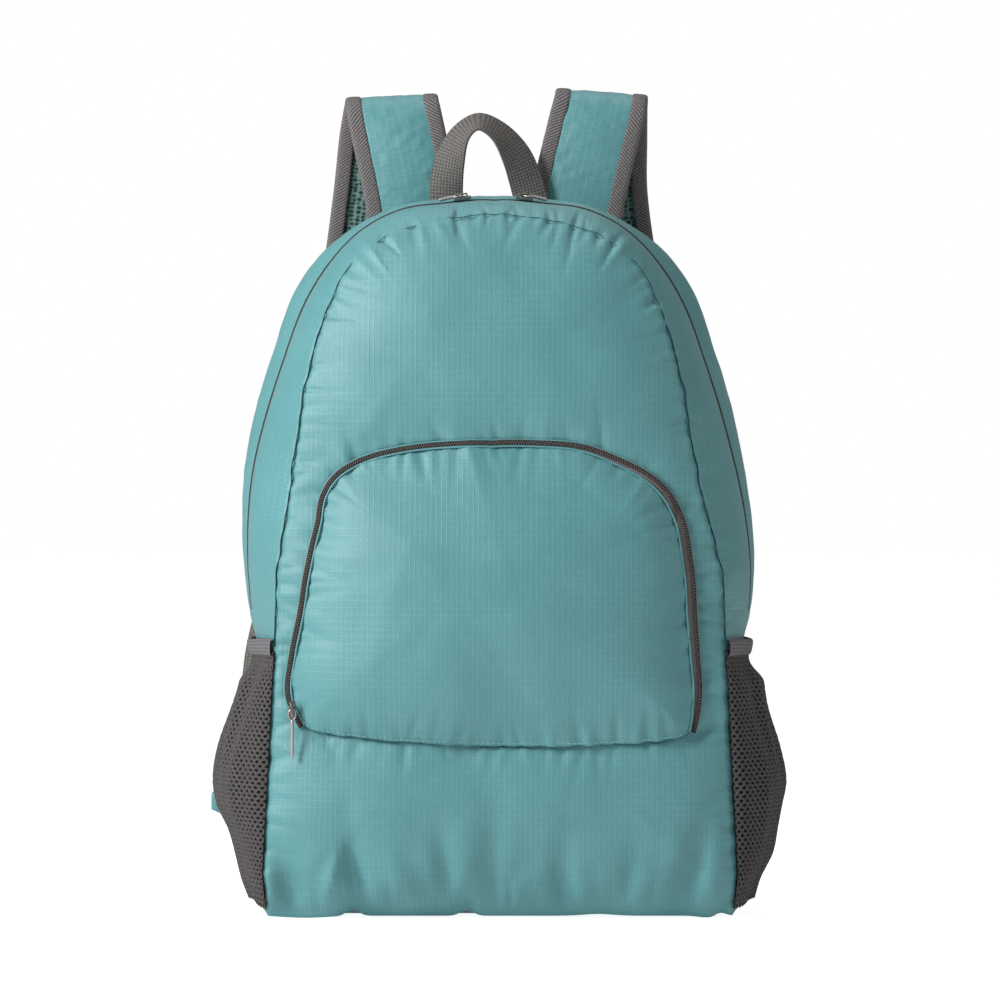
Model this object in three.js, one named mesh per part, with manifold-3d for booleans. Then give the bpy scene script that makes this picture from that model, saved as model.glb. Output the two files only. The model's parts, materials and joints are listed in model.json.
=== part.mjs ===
// A packable backpack of thin ripstop cloth, standing on its base.
// Millimetres. +Z is up, the front faces -Y and the shoulder straps hang at +Y.
// The origin is on the ground, under the middle of the whole bag.
import * as THREE from 'three';
import { mergeVertices } from 'three/addons/utils/BufferGeometryUtils.js';
import Module from 'manifold-3d';

const wasm = await Module();
wasm.setup();

// Outer sizes of the bag's body
const bag_height = 420;
const bag_width = 299;
const spring_height = 200;
const lip_height = 6;
const base_turn = 8;
const front_depth = 58;
const back_depth = 52;
const front_crown = 15;
const back_crown = 7;
const crown_reach = 75;
const top_lean = 3.5;
const lean_start = 180;
const lean_rise = 100;
const widest_share = 0.42;

// Cloth, clearances and the fineness of the faces
const cloth = 1.5;
const gap = 0.3;
const seat_spread = 3.5;
const flank_steps = 8;
const arch_steps = 12;
const bottom_steps = 8;
const base_rows = 6;
const gusset_steps = 32;
const side_steps = 9;
const side_rows = 5;
const front_band_rows = 2;
const rear_band_rows = 4;

// Main zip
const zip_place = -7;
const zip_width = 7;
const zip_thick = 2;
const zip_end_height = 178;

// Front pocket
const pocket_half_width = 118;
const pocket_centre_x = -4;
const pocket_centre_height = 190;
const pocket_rise = 84.5;
const pocket_drop = 90;
const pocket_puff = 13;
const pocket_reach = 55;
const chain_width = 5;
const chain_thick = 2.4;
const pocket_steps = 30;
const stitch_sag = 5;
const slider_run = 0.019;

// Mesh side pockets
const mesh_thick = 1.2;
const mesh_bulge = 26;
const mesh_low = 9;
const hem_top = 162;
const hem_height = 10;
const hem_thick = 2;
const hem_stand = 7;
const mesh_columns = 7;
const mesh_rows = 6;
const mesh_hole = 0.62;
const mesh_edge = 0.02;
const belly_power = 0.55;
const hem_steps = 10;

// Shoulder straps
const strap_rise = 66;
const strap_drop = 190;
const strap_stand = 60;
const strap_width = 56;
const strap_end_width = 34;
const taper_start = 0.72;
const strap_face = 1.5;
const strap_padding = 3.5;
const binding_width = 9.5;
const binding_thick = 1.2;
const binding_gap = 0.9;

// Webbing, buckles and anchor tabs
const webbing_width = 20;
const webbing_thick = 1.6;
const webbing_lie = 0.3;
const webbing_straight = 8;
const webbing_seat = 0.6;
const webbing_steps = 16;
const lock_width = 30;
const lock_length = 26;
const lock_thick = 4;
const lock_bar = 4;
const tab_height = 44;
const tab_reach_left = 36;
const tab_reach_right = 24;
const tab_tip = 10;
const tab_thick = 2.4;
const tab_level = 62;
const tab_sewn = 3;

// Haul loop
const haul_rise = 46;
const haul_spread = 32;
const haul_sewn = 12;
const haul_lean = 6;
const haul_tilt = 0.65;
const haul_width = 20;
const haul_thick = 1.8;
const haul_steps = 22;

// Sliders and pulls
const slider_length = 11;
const slider_width = 8;
const slider_thick = 2.2;
const slider_nose = 3.6;
const slider_shoulder = 1.7;
const bridge_sunk = 0.4;
const bridge_corner = 0.85;
const bridge_window = 2;
const bridge_length = 7.4;
const bridge_wall = 1.2;
const bridge_width = 2;
const pull_width = 2.4;
const pull_thick = 1.2;
const pull_eye_length = 5;
const eye_clearance = 0.5;
const pocket_pull_length = 28;
const main_pull_length = 13;
const main_slider_left = -22;
const main_slider_right = 14;

const half_width = bag_width / 2;
const half_zip = zip_width / 2;

// The arch of the top. Each ray leaves the middle of the spring line, in degrees above it.
// The other columns are reaches along the ray, as shares of the outer half ellipse.
const arch_rows = [
  { ray: 0, seam: 0.859, zip: 0.985, side: 0.998, back: 0.95 },
  { ray: 12, seam: 0.824, zip: 0.985, side: 1.015, back: 0.97 },
  { ray: 24, seam: 0.836, zip: 0.985, side: 1.032, back: 0.98 },
  { ray: 34, seam: 0.88, zip: 0.998, side: 1.05, back: 0.995 },
  { ray: 44, seam: 0.93, zip: 1.03, side: 1.085, back: 1.015 },
  { ray: 52, seam: 0.972, zip: 1.045, side: 1.086, back: 1.02 },
  { ray: 60, seam: 0.985, zip: 1.048, side: 1.068, back: 1.012 },
  { ray: 69, seam: 0.97, zip: 1.032, side: 1.042, back: 0.995 },
  { ray: 79, seam: 0.95, zip: 1.0, side: 1.012, back: 0.97 },
  { ray: 90, seam: 0.943, zip: 0.989, side: 1.0, back: 0.96 },
];

// The lower flanks. Heights are shares of the spring height, half widths are shares of the bag's.
const flank_rows = [
  { height: 0, seam: 0.918, zip: 0.94, side: 0.942, back: 0.91 },
  { height: 0.15, seam: 0.91, zip: 0.937, side: 0.942, back: 0.912 },
  { height: 0.45, seam: 0.888, zip: 0.935, side: 0.94, back: 0.915 },
  { height: 0.7, seam: 0.872, zip: 0.93, side: 0.935, back: 0.915 },
  { height: 0.79, seam: 0.87, zip: 0.94, side: 0.948, back: 0.92 },
  { height: 0.88, seam: 0.866, zip: 0.972, side: 0.982, back: 0.94 },
  { height: 1, seam: 0.859, zip: 0.985, side: 0.998, back: 0.95 },
];

// How deep the bag is at each height. Heights are shares of the bag's, reaches of its depths.
const depth_rows = [
  { height: 0, front: 0.94, back: 0.95 },
  { height: 0.2, front: 1, back: 1 },
  { height: 0.5, front: 0.98, back: 1 },
  { height: 0.75, front: 0.86, back: 0.92 },
  { height: 0.92, front: 0.7, back: 0.78 },
  { height: 1, front: 0.62, back: 0.7 },
];

// The front pocket's arched zip: reaches along rays from the pocket's middle, as shares.
const pocket_rows = [
  { ray: -43, left: 1.275, right: 1.33 },
  { ray: -34, left: 1.205, right: 1.21 },
  { ray: -23, left: 1.065, right: 1.08 },
  { ray: -11, left: 0.962, right: 1.0 },
  { ray: 0, left: 0.922, right: 0.975 },
  { ray: 14, left: 0.92, right: 0.985 },
  { ray: 28, left: 0.967, right: 1.04 },
  { ray: 38, left: 1.05, right: 1.078 },
  { ray: 46, left: 1.093, right: 1.088 },
  { ray: 55, left: 1.092, right: 1.077 },
  { ray: 66, left: 1.055, right: 1.068 },
  { ray: 78, left: 1.018, right: 1.025 },
  { ray: 90, left: 1.0, right: 1.0 },
];

// How far a mesh pocket stands off the flank. Heights are shares of the mesh's own height.
const bulge_rows = [
  { height: 0, left: 0.2, right: 0.28 },
  { height: 0.08, left: 0.38, right: 0.42 },
  { height: 0.18, left: 0.52, right: 0.7 },
  { height: 0.27, left: 0.66, right: 0.8 },
  { height: 0.37, left: 0.92, right: 0.9 },
  { height: 0.47, left: 1.0, right: 0.98 },
  { height: 0.6, left: 0.9, right: 0.85 },
  { height: 0.75, left: 0.66, right: 0.64 },
  { height: 0.9, left: 0.42, right: 0.52 },
  { height: 1, left: 0.25, right: 0.34 },
];

// Dents and folds of the front panel. Places and sizes are shares of the bag's width and height.
// The turn is the fold's slant in degrees and the depth is a share of the front's crown.
const front_folds = [
  { x: -0.33, z: 0.06, long: 0.09, wide: 0.022, turn: 8, depth: 0.45 },
  { x: -0.24, z: 0.08, long: 0.08, wide: 0.02, turn: -6, depth: 0.3 },
  { x: -0.02, z: 0.07, long: 0.09, wide: 0.03, turn: 4, depth: 0.4 },
  { x: 0.14, z: 0.06, long: 0.08, wide: 0.025, turn: -8, depth: 0.35 },
  { x: 0.32, z: 0.09, long: 0.1, wide: 0.03, turn: -12, depth: 0.35 },
  { x: 0.2, z: 0.83, long: 0.12, wide: 0.06, turn: 25, depth: 0.3 },
  { x: -0.16, z: 0.75, long: 0.2, wide: 0.08, turn: -20, depth: -0.15 },
  { x: 0.38, z: 0.44, long: 0.05, wide: 0.02, turn: 40, depth: 0.3 },
];

const colours = {
  ripstop: 0x649f9f,
  tape: 0x5d5656,
  binding: 0x696463,
  mesh: 0x5f5c59,
  air_mesh: 0x4b6e69,
  metal: 0xc9c9c6,
  plastic: 0x3a3a3a,
};

const bag = new THREE.Group();

function mix(from, to, share) {
  return from + (to - from) * share;
}

// A smooth curve through one column of a table, read at any place.
function read(rows, key, place, column) {
  const last = rows.length - 1;
  let low = 0;
  while (low < last - 1 && rows[low + 1][key] < place) {
    low += 1;
  }
  const slope = (row) => {
    const before = rows[Math.max(row - 1, 0)];
    const after = rows[Math.min(row + 1, last)];
    return (after[column] - before[column]) / (after[key] - before[key]);
  };
  const from = rows[low];
  const to = rows[low + 1];
  const span = to[key] - from[key];
  const share = THREE.MathUtils.clamp((place - from[key]) / span, 0, 1);
  const cubed = share * share * share;
  const squared = share * share;
  return (2 * cubed - 3 * squared + 1) * from[column]
    + (cubed - 2 * squared + share) * span * slope(low)
    + (3 * squared - 2 * cubed) * to[column]
    + (cubed - squared) * span * slope(low + 1);
}

function add_piece(name, geometry, colour, roughness = 0.8, metalness = 0) {
  const material = new THREE.MeshStandardMaterial({ color: colour, roughness, metalness });
  const mesh = new THREE.Mesh(geometry, material);
  mesh.name = name;
  bag.add(mesh);
  return mesh;
}

// Collects triangles over a list of points, and turns them to face outwards.
class Faces {
  constructor() {
    this.points = [];
    this.corners = [];
  }

  point(place) {
    this.points.push(place);
    return this.points.length - 1;
  }

  triangle(a, b, c) {
    this.corners.push(a, b, c);
  }

  quad(a, b, c, d) {
    this.triangle(a, b, c);
    this.triangle(a, c, d);
  }

  volume() {
    let sum = 0;
    for (let i = 0; i < this.corners.length; i += 3) {
      const [a, b, c] = this.corners.slice(i, i + 3).map((corner) => this.points[corner]);
      sum += a.dot(new THREE.Vector3().crossVectors(b, c)) / 6;
    }
    return sum;
  }

  geometry() {
    if (this.volume() < 0) {
      for (let i = 0; i < this.corners.length; i += 3) {
        [this.corners[i], this.corners[i + 1]] = [this.corners[i + 1], this.corners[i]];
      }
    }
    const geometry = new THREE.BufferGeometry();
    geometry.setFromPoints(this.points);
    geometry.setIndex(this.corners);
    return geometry;
  }
}

// A wall over a grid: outside(u, v) and inside(u, v) give its two faces.
function wall(across, up, outside, inside) {
  const faces = new Faces();
  const sides = [outside, inside].map((side) => {
    const rows = [];
    for (let j = 0; j <= up; j += 1) {
      const row = [];
      for (let i = 0; i <= across; i += 1) {
        row.push(faces.point(side(i / across, j / up)));
      }
      rows.push(row);
    }
    return rows;
  });
  const [out, back] = sides;
  for (let j = 0; j < up; j += 1) {
    for (let i = 0; i < across; i += 1) {
      faces.quad(out[j][i], out[j][i + 1], out[j + 1][i + 1], out[j + 1][i]);
      faces.quad(back[j][i], back[j + 1][i], back[j + 1][i + 1], back[j][i + 1]);
    }
    faces.quad(out[j][0], out[j + 1][0], back[j + 1][0], back[j][0]);
    faces.quad(out[j][across], back[j][across], back[j + 1][across], out[j + 1][across]);
  }
  for (let i = 0; i < across; i += 1) {
    faces.quad(out[0][i], back[0][i], back[0][i + 1], out[0][i + 1]);
    faces.quad(out[up][i], out[up][i + 1], back[up][i + 1], back[up][i]);
  }
  return faces.geometry();
}

// A round or cornered panel: rings of points shrink from its rim to its middle.
// Each ring has its share of the way out to the rim, which is 1. outside(k, share) and
// inside(k, share) give the faces.
function panel(around, shares, outside, inside) {
  const faces = new Faces();
  const rings = shares.length;
  const build = (side) => {
    const middle = faces.point(side(0, 0));
    const loops = shares.map((share) => {
      const loop = [];
      for (let k = 0; k < around; k += 1) {
        loop.push(faces.point(side(k, share)));
      }
      return loop;
    });
    return { middle, loops };
  };
  const out = build(outside);
  const back = build(inside);
  for (let k = 0; k < around; k += 1) {
    const next = (k + 1) % around;
    faces.triangle(out.middle, out.loops[0][k], out.loops[0][next]);
    faces.triangle(back.middle, back.loops[0][next], back.loops[0][k]);
    for (let ring = 1; ring < rings; ring += 1) {
      const [low, high] = [out.loops[ring - 1], out.loops[ring]];
      faces.quad(low[k], high[k], high[next], low[next]);
      const [under, over] = [back.loops[ring - 1], back.loops[ring]];
      faces.quad(under[k], under[next], over[next], over[k]);
    }
    const rim = out.loops[rings - 1];
    const heel = back.loops[rings - 1];
    faces.quad(rim[k], heel[k], heel[next], rim[next]);
  }
  return faces.geometry();
}

// A ribbon along stations. Each station has a middle, a direction across and one outwards.
// The section is a closed list of [across, outwards] pairs, or a function of the station.
function ribbon(stations, section) {
  const faces = new Faces();
  const loops = stations.map((station, index) => {
    const outline = typeof section === 'function' ? section(index / (stations.length - 1)) : section;
    return outline.map(([across, outwards]) => faces.point(
      station.middle.clone()
        .addScaledVector(station.across, across)
        .addScaledVector(station.outwards, outwards),
    ));
  });
  const places = typeof section === 'function' ? section(0) : section;
  const count = places.length;
  for (let j = 0; j + 1 < loops.length; j += 1) {
    for (let k = 0; k < count; k += 1) {
      const next = (k + 1) % count;
      const corners = [loops[j][k], loops[j][next], loops[j + 1][next], loops[j + 1][k]];
      if (places[next][0] < places[k][0]) {
        corners.push(corners.shift());
      }
      faces.quad(...corners);
    }
  }
  const flat = places.map(([across, outwards]) => new THREE.Vector2(across, outwards));
  const caps = THREE.ShapeUtils.triangulateShape(flat, []);
  const turned = THREE.ShapeUtils.area(flat) > 0;
  const [first, end] = [loops[0], loops[loops.length - 1]];
  for (const [a, b, c] of caps) {
    if (turned) {
      faces.triangle(first[c], first[b], first[a]);
      faces.triangle(end[a], end[b], end[c]);
    } else {
      faces.triangle(first[a], first[b], first[c]);
      faces.triangle(end[c], end[b], end[a]);
    }
  }
  return faces.geometry();
}

// The shell's rim lines

function front_reach(height) {
  return front_depth * read(depth_rows, 'height', height / bag_height, 'front');
}

function back_reach(height) {
  return back_depth * read(depth_rows, 'height', height / bag_height, 'back');
}

function lean(height) {
  return -top_lean * THREE.MathUtils.smoothstep(height, lean_start, lean_start + lean_rise);
}

const flank_share = flank_steps / (flank_steps + arch_steps);

// A half rim runs from the lip of the base at 0 to the top's middle at 1.
// The rims are the columns seam, zip, side and back.
function half_rim(column, run) {
  if (run < flank_share) {
    const height = mix(lip_height + gap, spring_height, run / flank_share);
    return { x: half_width * read(flank_rows, 'height', height / spring_height, column), z: height };
  }
  const ray = 90 * (run - flank_share) / (1 - flank_share);
  const reach = read(arch_rows, 'ray', ray, column);
  const angle = THREE.MathUtils.degToRad(ray);
  return {
    x: half_width * reach * Math.cos(angle),
    z: spring_height + (bag_height - spring_height) * reach * Math.sin(angle),
  };
}

// The run whose seam rim is at a height on the flank.
function run_at(height) {
  return flank_share * (height - lip_height - gap) / (spring_height - lip_height - gap);
}

// The gusset goes once over the bag. Along goes from 0 at the left lip, over 0.5 at the top,
// to 1 at the right lip. Depth goes from 0 at the front seam to 1 at the back seam.
function gusset_point(along, depth) {
  const side = along < 0.5 ? -1 : 1;
  const run = along < 0.5 ? 2 * along : 2 - 2 * along;
  const seam = half_rim('seam', run);
  const zip = half_rim('zip', run);
  const edge = half_rim('side', run);
  const back = half_rim('back', run);
  const front_y = -front_reach(seam.z);
  const back_y = back_reach(back.z);
  const zip_depth = (zip_place - front_y) / (back_y - front_y);
  const edge_depth = mix(zip_depth, 1, widest_share);
  const rows = [
    { depth: 0, x: seam.x, z: seam.z },
    { depth: zip_depth, x: zip.x, z: zip.z },
    { depth: edge_depth, x: edge.x, z: edge.z },
    { depth: 1, x: back.x, z: back.z },
  ];
  const z = read(rows, 'depth', depth, 'z');
  const x = side * read(rows, 'depth', depth, 'x') + lean(z);
  return new THREE.Vector3(x, mix(front_y, back_y, depth), z);
}

function zip_depth_at(along) {
  const run = along < 0.5 ? 2 * along : 2 - 2 * along;
  const front_y = -front_reach(half_rim('seam', run).z);
  const back_y = back_reach(half_rim('back', run).z);
  return (zip_place - front_y) / (back_y - front_y);
}

function depth_span(along) {
  const run = along < 0.5 ? 2 * along : 2 - 2 * along;
  return front_reach(half_rim('seam', run).z) + back_reach(half_rim('back', run).z);
}

function gusset_normal(along, depth) {
  const step = 0.004;
  const before = gusset_point(Math.max(along - step, 0), depth);
  const after = gusset_point(Math.min(along + step, 1), depth);
  const ahead = gusset_point(along, Math.max(depth - step, 0));
  const behind = gusset_point(along, Math.min(depth + step, 1));
  const normal = new THREE.Vector3().crossVectors(after.sub(before), behind.sub(ahead)).normalize();
  const here = gusset_point(along, depth);
  const outwards = new THREE.Vector3(here.x, 0, here.z - spring_height / 2);
  return normal.dot(outwards) < 0 ? normal.negate() : normal;
}

function off_gusset(along, depth, distance) {
  return gusset_point(along, depth).addScaledVector(gusset_normal(along, depth), distance);
}

// Rims of the front and back panels, as closed loops of points in turn

const lip = lip_height + gap;

function panel_rim(column, reach) {
  const runs = [];
  const half_count = flank_steps + arch_steps;
  for (let i = 0; i <= 2 * half_count; i += 1) {
    const along = i / (2 * half_count);
    const side = along < 0.5 ? -1 : 1;
    const place = half_rim(column, along < 0.5 ? 2 * along : 2 - 2 * along);
    runs.push(new THREE.Vector3(side * place.x + lean(place.z), reach(place.z), place.z));
  }
  const [left, right] = [runs[0], runs[runs.length - 1]];
  for (let i = 1; i < 2 * bottom_steps; i += 1) {
    const share = i / (2 * bottom_steps);
    runs.push(new THREE.Vector3(mix(right.x, left.x, share), reach(lip), lip));
  }
  return runs;
}

const front_rim = panel_rim('seam', (z) => -front_reach(z));
const back_rim = panel_rim('back', (z) => back_reach(z));

function distance_to_rim(rim, x, z) {
  let nearest = Infinity;
  for (let i = 0; i < rim.length; i += 1) {
    const from = rim[i];
    const to = rim[(i + 1) % rim.length];
    const [run_x, run_z] = [to.x - from.x, to.z - from.z];
    const share = ((x - from.x) * run_x + (z - from.z) * run_z) / (run_x * run_x + run_z * run_z);
    const near = THREE.MathUtils.clamp(share, 0, 1);
    const away = Math.hypot(x - from.x - near * run_x, z - from.z - near * run_z);
    nearest = Math.min(nearest, away);
  }
  return nearest;
}

function pillow(distance, reach) {
  return Math.sin((Math.PI / 2) * Math.min(distance / reach, 1));
}

function fold_depth(x, z) {
  let sum = 0;
  for (const fold of front_folds) {
    const turn = THREE.MathUtils.degToRad(fold.turn);
    const dx = x - fold.x * bag_width;
    const dz = z - fold.z * bag_height;
    const along = (dz * Math.cos(turn) - dx * Math.sin(turn)) / (fold.long * bag_height);
    const across = (dx * Math.cos(turn) + dz * Math.sin(turn)) / (fold.wide * bag_width);
    sum += fold.depth * front_crown * Math.exp(-along * along - across * across);
  }
  return sum;
}

// The front panel's outer face at a place: its crown and its folds.
function front_face(x, z) {
  const distance = distance_to_rim(front_rim, x, z);
  const rise = front_crown * pillow(distance, crown_reach);
  return -front_reach(z) - rise + fold_depth(x, z) * pillow(distance, crown_reach / 3);
}

function back_face(x, z) {
  return back_reach(z) + back_crown * pillow(distance_to_rim(back_rim, x, z), crown_reach);
}

const panel_middle = new THREE.Vector3(0, 0, spring_height);

function within(rim, k, share) {
  return panel_middle.clone().lerp(rim[k], share);
}

function panel_side(rim, face) {
  return (k, share) => {
    const place = within(rim, k, share);
    return new THREE.Vector3(place.x, face(place.x, place.z), place.z);
  };
}

// Shell panels

// Shares of the way from a panel's middle out to its rim, one for each ring of points
const front_shares = [0.3, 0.55, 0.75, 0.88, 0.95, 1];
const back_shares = [0.35, 0.65, 0.85, 0.95, 1];

const front_panel = add_piece('front_panel', panel(
  front_rim.length,
  front_shares,
  panel_side(front_rim, front_face),
  panel_side(front_rim, (x, z) => front_face(x, z) + cloth),
), colours.ripstop);

add_piece('back_panel', panel(
  back_rim.length,
  back_shares,
  panel_side(back_rim, back_face),
  panel_side(back_rim, (x, z) => back_face(x, z) - cloth),
), colours.ripstop);

// The parts of the gusset. Ends are places along it, and edges are functions of the place.
function gusset_piece(name, steps, rows, ends, front_edge, back_edge, thick, colour) {
  const place = (u, v) => {
    const along = mix(ends[0], ends[1], u);
    return [along, mix(front_edge(along), back_edge(along), v)];
  };
  add_piece(name, wall(
    steps,
    rows,
    (u, v) => gusset_point(...place(u, v)),
    (u, v) => off_gusset(...place(u, v), -thick),
  ), colour);
}

const seam_inset = cloth + gap;
const zip_start = run_at(zip_end_height) / 2;
const along_gap = gap / (4 * spring_height);
const top_ends = [zip_start + along_gap, 1 - zip_start - along_gap];
const front_inset = (along) => seam_inset / depth_span(along);
const back_inset = (along) => 1 - seam_inset / depth_span(along);
const zip_front = (along) => zip_depth_at(along) - half_zip / depth_span(along);
const zip_back = (along) => zip_depth_at(along) + half_zip / depth_span(along);
const edge_gap = (along) => gap / depth_span(along);

gusset_piece('front_band', gusset_steps, front_band_rows, top_ends, front_inset,
  (along) => zip_front(along) - edge_gap(along), cloth, colours.ripstop);
gusset_piece('main_zipper', gusset_steps, 1, top_ends, zip_front, zip_back, zip_thick,
  colours.tape);
gusset_piece('rear_band', gusset_steps, rear_band_rows, top_ends,
  (along) => zip_back(along) + edge_gap(along), back_inset, cloth, colours.ripstop);
gusset_piece('side_left', side_steps, side_rows, [0, zip_start], front_inset, back_inset, cloth,
  colours.ripstop);
gusset_piece('side_right', side_steps, side_rows, [1, 1 - zip_start], front_inset, back_inset,
  cloth, colours.ripstop);

// Base panel: a shallow tray whose rim follows the lower edges of the walls.
const base_rim = [];
for (let i = 0; i <= base_rows; i += 1) {
  base_rim.push(gusset_point(0, 1 - i / base_rows));
}
for (let i = 1; i < 2 * bottom_steps; i += 1) {
  const share = i / (2 * bottom_steps);
  base_rim.push(gusset_point(0, 0).lerp(gusset_point(1, 0), share));
}
for (let i = 0; i <= base_rows; i += 1) {
  base_rim.push(gusset_point(1, i / base_rows));
}
for (let i = 1; i < 2 * bottom_steps; i += 1) {
  const share = i / (2 * bottom_steps);
  base_rim.push(gusset_point(1, 1).lerp(gusset_point(0, 1), share));
}

// The tray's rings from its middle outwards: how far each lies in from the rim, as a share of
// the width that turns up, and its level as a share of the lip's height.
const base_rings = [
  { inset: 6, level: 0 },
  { inset: 1, level: 0 },
  { inset: 0.38, level: 0.12 },
  { inset: 0.08, level: 0.5 },
  { inset: 0, level: 1 },
];
const base_half_x = Math.max(...base_rim.map((place) => place.x));
const base_front_y = Math.min(...base_rim.map((place) => place.y));
const base_back_y = Math.max(...base_rim.map((place) => place.y));
const base_middle_y = (base_front_y + base_back_y) / 2;
const base_half_y = (base_back_y - base_front_y) / 2;

function base_side(thick) {
  return (k, index) => {
    if (index === 0) {
      return new THREE.Vector3(0, base_middle_y, thick);
    }
    const { inset, level } = base_rings[index - 1];
    const away = inset * base_turn + thick;
    const rim = base_rim[k];
    return new THREE.Vector3(
      rim.x * (1 - away / base_half_x),
      base_middle_y + (rim.y - base_middle_y) * (1 - away / base_half_y),
      mix(thick, lip_height, level),
    );
  };
}

add_piece('base_panel', panel(
  base_rim.length,
  base_rings.map((ring, index) => index + 1),
  base_side(0),
  base_side(cloth),
), colours.ripstop);

// Front pocket

function pocket_outline(along) {
  const sign = along < 0.5 ? -1 : 1;
  const column = along < 0.5 ? 'left' : 'right';
  const run = along < 0.5 ? 2 * along : 2 - 2 * along;
  const ray = mix(pocket_rows[0].ray, 90, run);
  const reach = read(pocket_rows, 'ray', ray, column);
  const angle = THREE.MathUtils.degToRad(ray);
  const tall = ray < 0 ? pocket_drop : pocket_rise;
  return {
    x: pocket_centre_x + sign * pocket_half_width * reach * Math.cos(angle),
    z: pocket_centre_height + tall * reach * Math.sin(angle),
  };
}

// A place beside the pocket's outline, moved towards the pocket's middle by a distance.
function beside_outline(along, inwards) {
  const step = 0.01;
  const here = pocket_outline(along);
  const before = pocket_outline(Math.max(along - step, 0));
  const after = pocket_outline(Math.min(along + step, 1));
  const length = Math.hypot(after.x - before.x, after.z - before.z);
  const [turn_x, turn_z] = [(after.x - before.x) / length, (after.z - before.z) / length];
  return { x: here.x + inwards * turn_z, z: here.z - inwards * turn_x };
}

// The front panel's outer face as it is made, flat facets and all, found by looking at it
// from the front. What lies on the panel is seated on the highest spot close by.
const sight = new THREE.Raycaster();
function panel_front(x, z) {
  sight.set(new THREE.Vector3(x, -bag_width, z), new THREE.Vector3(0, 1, 0));
  const [hit] = sight.intersectObject(front_panel);
  return hit ? hit.point.y : front_face(x, z);
}

function panel_seat(x, z) {
  const steps = [[0, 0], [1, 0], [-1, 0], [0, 1], [0, -1]];
  const spots = steps.map(([dx, dz]) => panel_front(x + dx * seat_spread, z + dz * seat_spread));
  return Math.min(...spots) - gap;
}

function chain_side(lift) {
  return (u, v) => {
    const place = beside_outline(u, mix(-chain_width / 2, chain_width / 2, v));
    return new THREE.Vector3(place.x, panel_seat(place.x, place.z) - lift, place.z);
  };
}
add_piece('pocket_zipper', wall(pocket_steps, 2, chain_side(chain_thick), chain_side(0)),
  colours.tape);

const pocket_rim = [];
const pocket_inset = chain_width / 2 + gap;
for (let i = 0; i <= pocket_steps; i += 1) {
  pocket_rim.push(beside_outline(i / pocket_steps, pocket_inset));
}
const [stitch_left, stitch_right] = [pocket_rim[0], pocket_rim[pocket_rim.length - 1]];
for (let i = 1; i < 2 * bottom_steps; i += 1) {
  const share = i / (2 * bottom_steps);
  pocket_rim.push({
    x: mix(stitch_right.x, stitch_left.x, share),
    z: mix(stitch_right.z, stitch_left.z, share) - stitch_sag * Math.sin(Math.PI * share) ** 0.5,
  });
}
const pocket_rim_points = pocket_rim.map((place) => new THREE.Vector3(place.x, 0, place.z));
const pocket_middle = new THREE.Vector3(pocket_centre_x, 0, pocket_centre_height);

function pocket_face(x, z) {
  const puff = pocket_puff * pillow(distance_to_rim(pocket_rim_points, x, z), pocket_reach);
  return panel_seat(x, z) - cloth - puff;
}

function pocket_side(lift) {
  return (k, share) => {
    const place = pocket_middle.clone().lerp(pocket_rim_points[k], share);
    return new THREE.Vector3(place.x, pocket_face(place.x, place.z) + lift, place.z);
  };
}
const pocket_shares = [0.3, 0.55, 0.75, 0.9, 1];
add_piece('pocket_panel', panel(
  pocket_rim_points.length,
  pocket_shares,
  pocket_side(0),
  pocket_side(cloth),
), colours.ripstop);

// Mesh side pockets

const mesh_top = hem_top - hem_height - gap;

function pocket_belly(u) {
  return Math.sin(Math.PI * THREE.MathUtils.clamp(u, 0, 1)) ** belly_power;
}

function mesh_place(side, u, height) {
  const run = run_at(height) / 2;
  return [side < 0 ? run : 1 - run, mix(mesh_edge, 1 - mesh_edge, u)];
}

function mesh_off(side, u, height) {
  const column = side < 0 ? 'left' : 'right';
  const share = (height - mesh_low) / (mesh_top - mesh_low);
  return gap + mesh_bulge * read(bulge_rows, 'height', share, column) * pocket_belly(u);
}

// A net wall: each cell of the grid has one diamond hole through it.
function net(across, up, hole, outside, inside) {
  const faces = new Faces();
  const corner = (side, i, j) => faces.point(side(i / across, j / up));
  const grid = [outside, inside].map((side) => {
    const rows = [];
    for (let j = 0; j <= up; j += 1) {
      rows.push([...Array(across + 1).keys()].map((i) => corner(side, i, j)));
    }
    return rows;
  });
  const sides = [outside, inside];
  const rims = [];
  for (let j = 0; j < up; j += 1) {
    for (let i = 0; i < across; i += 1) {
      const tips = sides.map((side) => [
        corner(side, i + 0.5, j + 0.5 - hole / 2),
        corner(side, i + 0.5 + hole / 2, j + 0.5),
        corner(side, i + 0.5, j + 0.5 + hole / 2),
        corner(side, i + 0.5 - hole / 2, j + 0.5),
      ]);
      tips.forEach(([low, right, high, left], face) => {
        const rows = grid[face];
        const [a, b, c, d] = [rows[j][i], rows[j][i + 1], rows[j + 1][i + 1], rows[j + 1][i]];
        const loop = [
          [a, b, low], [b, right, low], [b, c, right], [c, high, right],
          [c, d, high], [d, left, high], [d, a, left], [a, low, left],
        ];
        for (const [p, q, r] of loop) {
          if (face === 0) {
            faces.triangle(p, q, r);
          } else {
            faces.triangle(r, q, p);
          }
        }
      });
      rims.push(tips);
    }
  }
  for (const [outer, inner] of rims) {
    for (let k = 0; k < 4; k += 1) {
      const next = (k + 1) % 4;
      faces.quad(outer[k], outer[next], inner[next], inner[k]);
    }
  }
  const [out, back] = grid;
  for (let j = 0; j < up; j += 1) {
    faces.quad(out[j][0], out[j + 1][0], back[j + 1][0], back[j][0]);
    faces.quad(out[j][across], back[j][across], back[j + 1][across], out[j + 1][across]);
  }
  for (let i = 0; i < across; i += 1) {
    faces.quad(out[0][i], back[0][i], back[0][i + 1], out[0][i + 1]);
    faces.quad(out[up][i], out[up][i + 1], back[up][i + 1], back[up][i]);
  }
  return faces.geometry();
}

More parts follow.
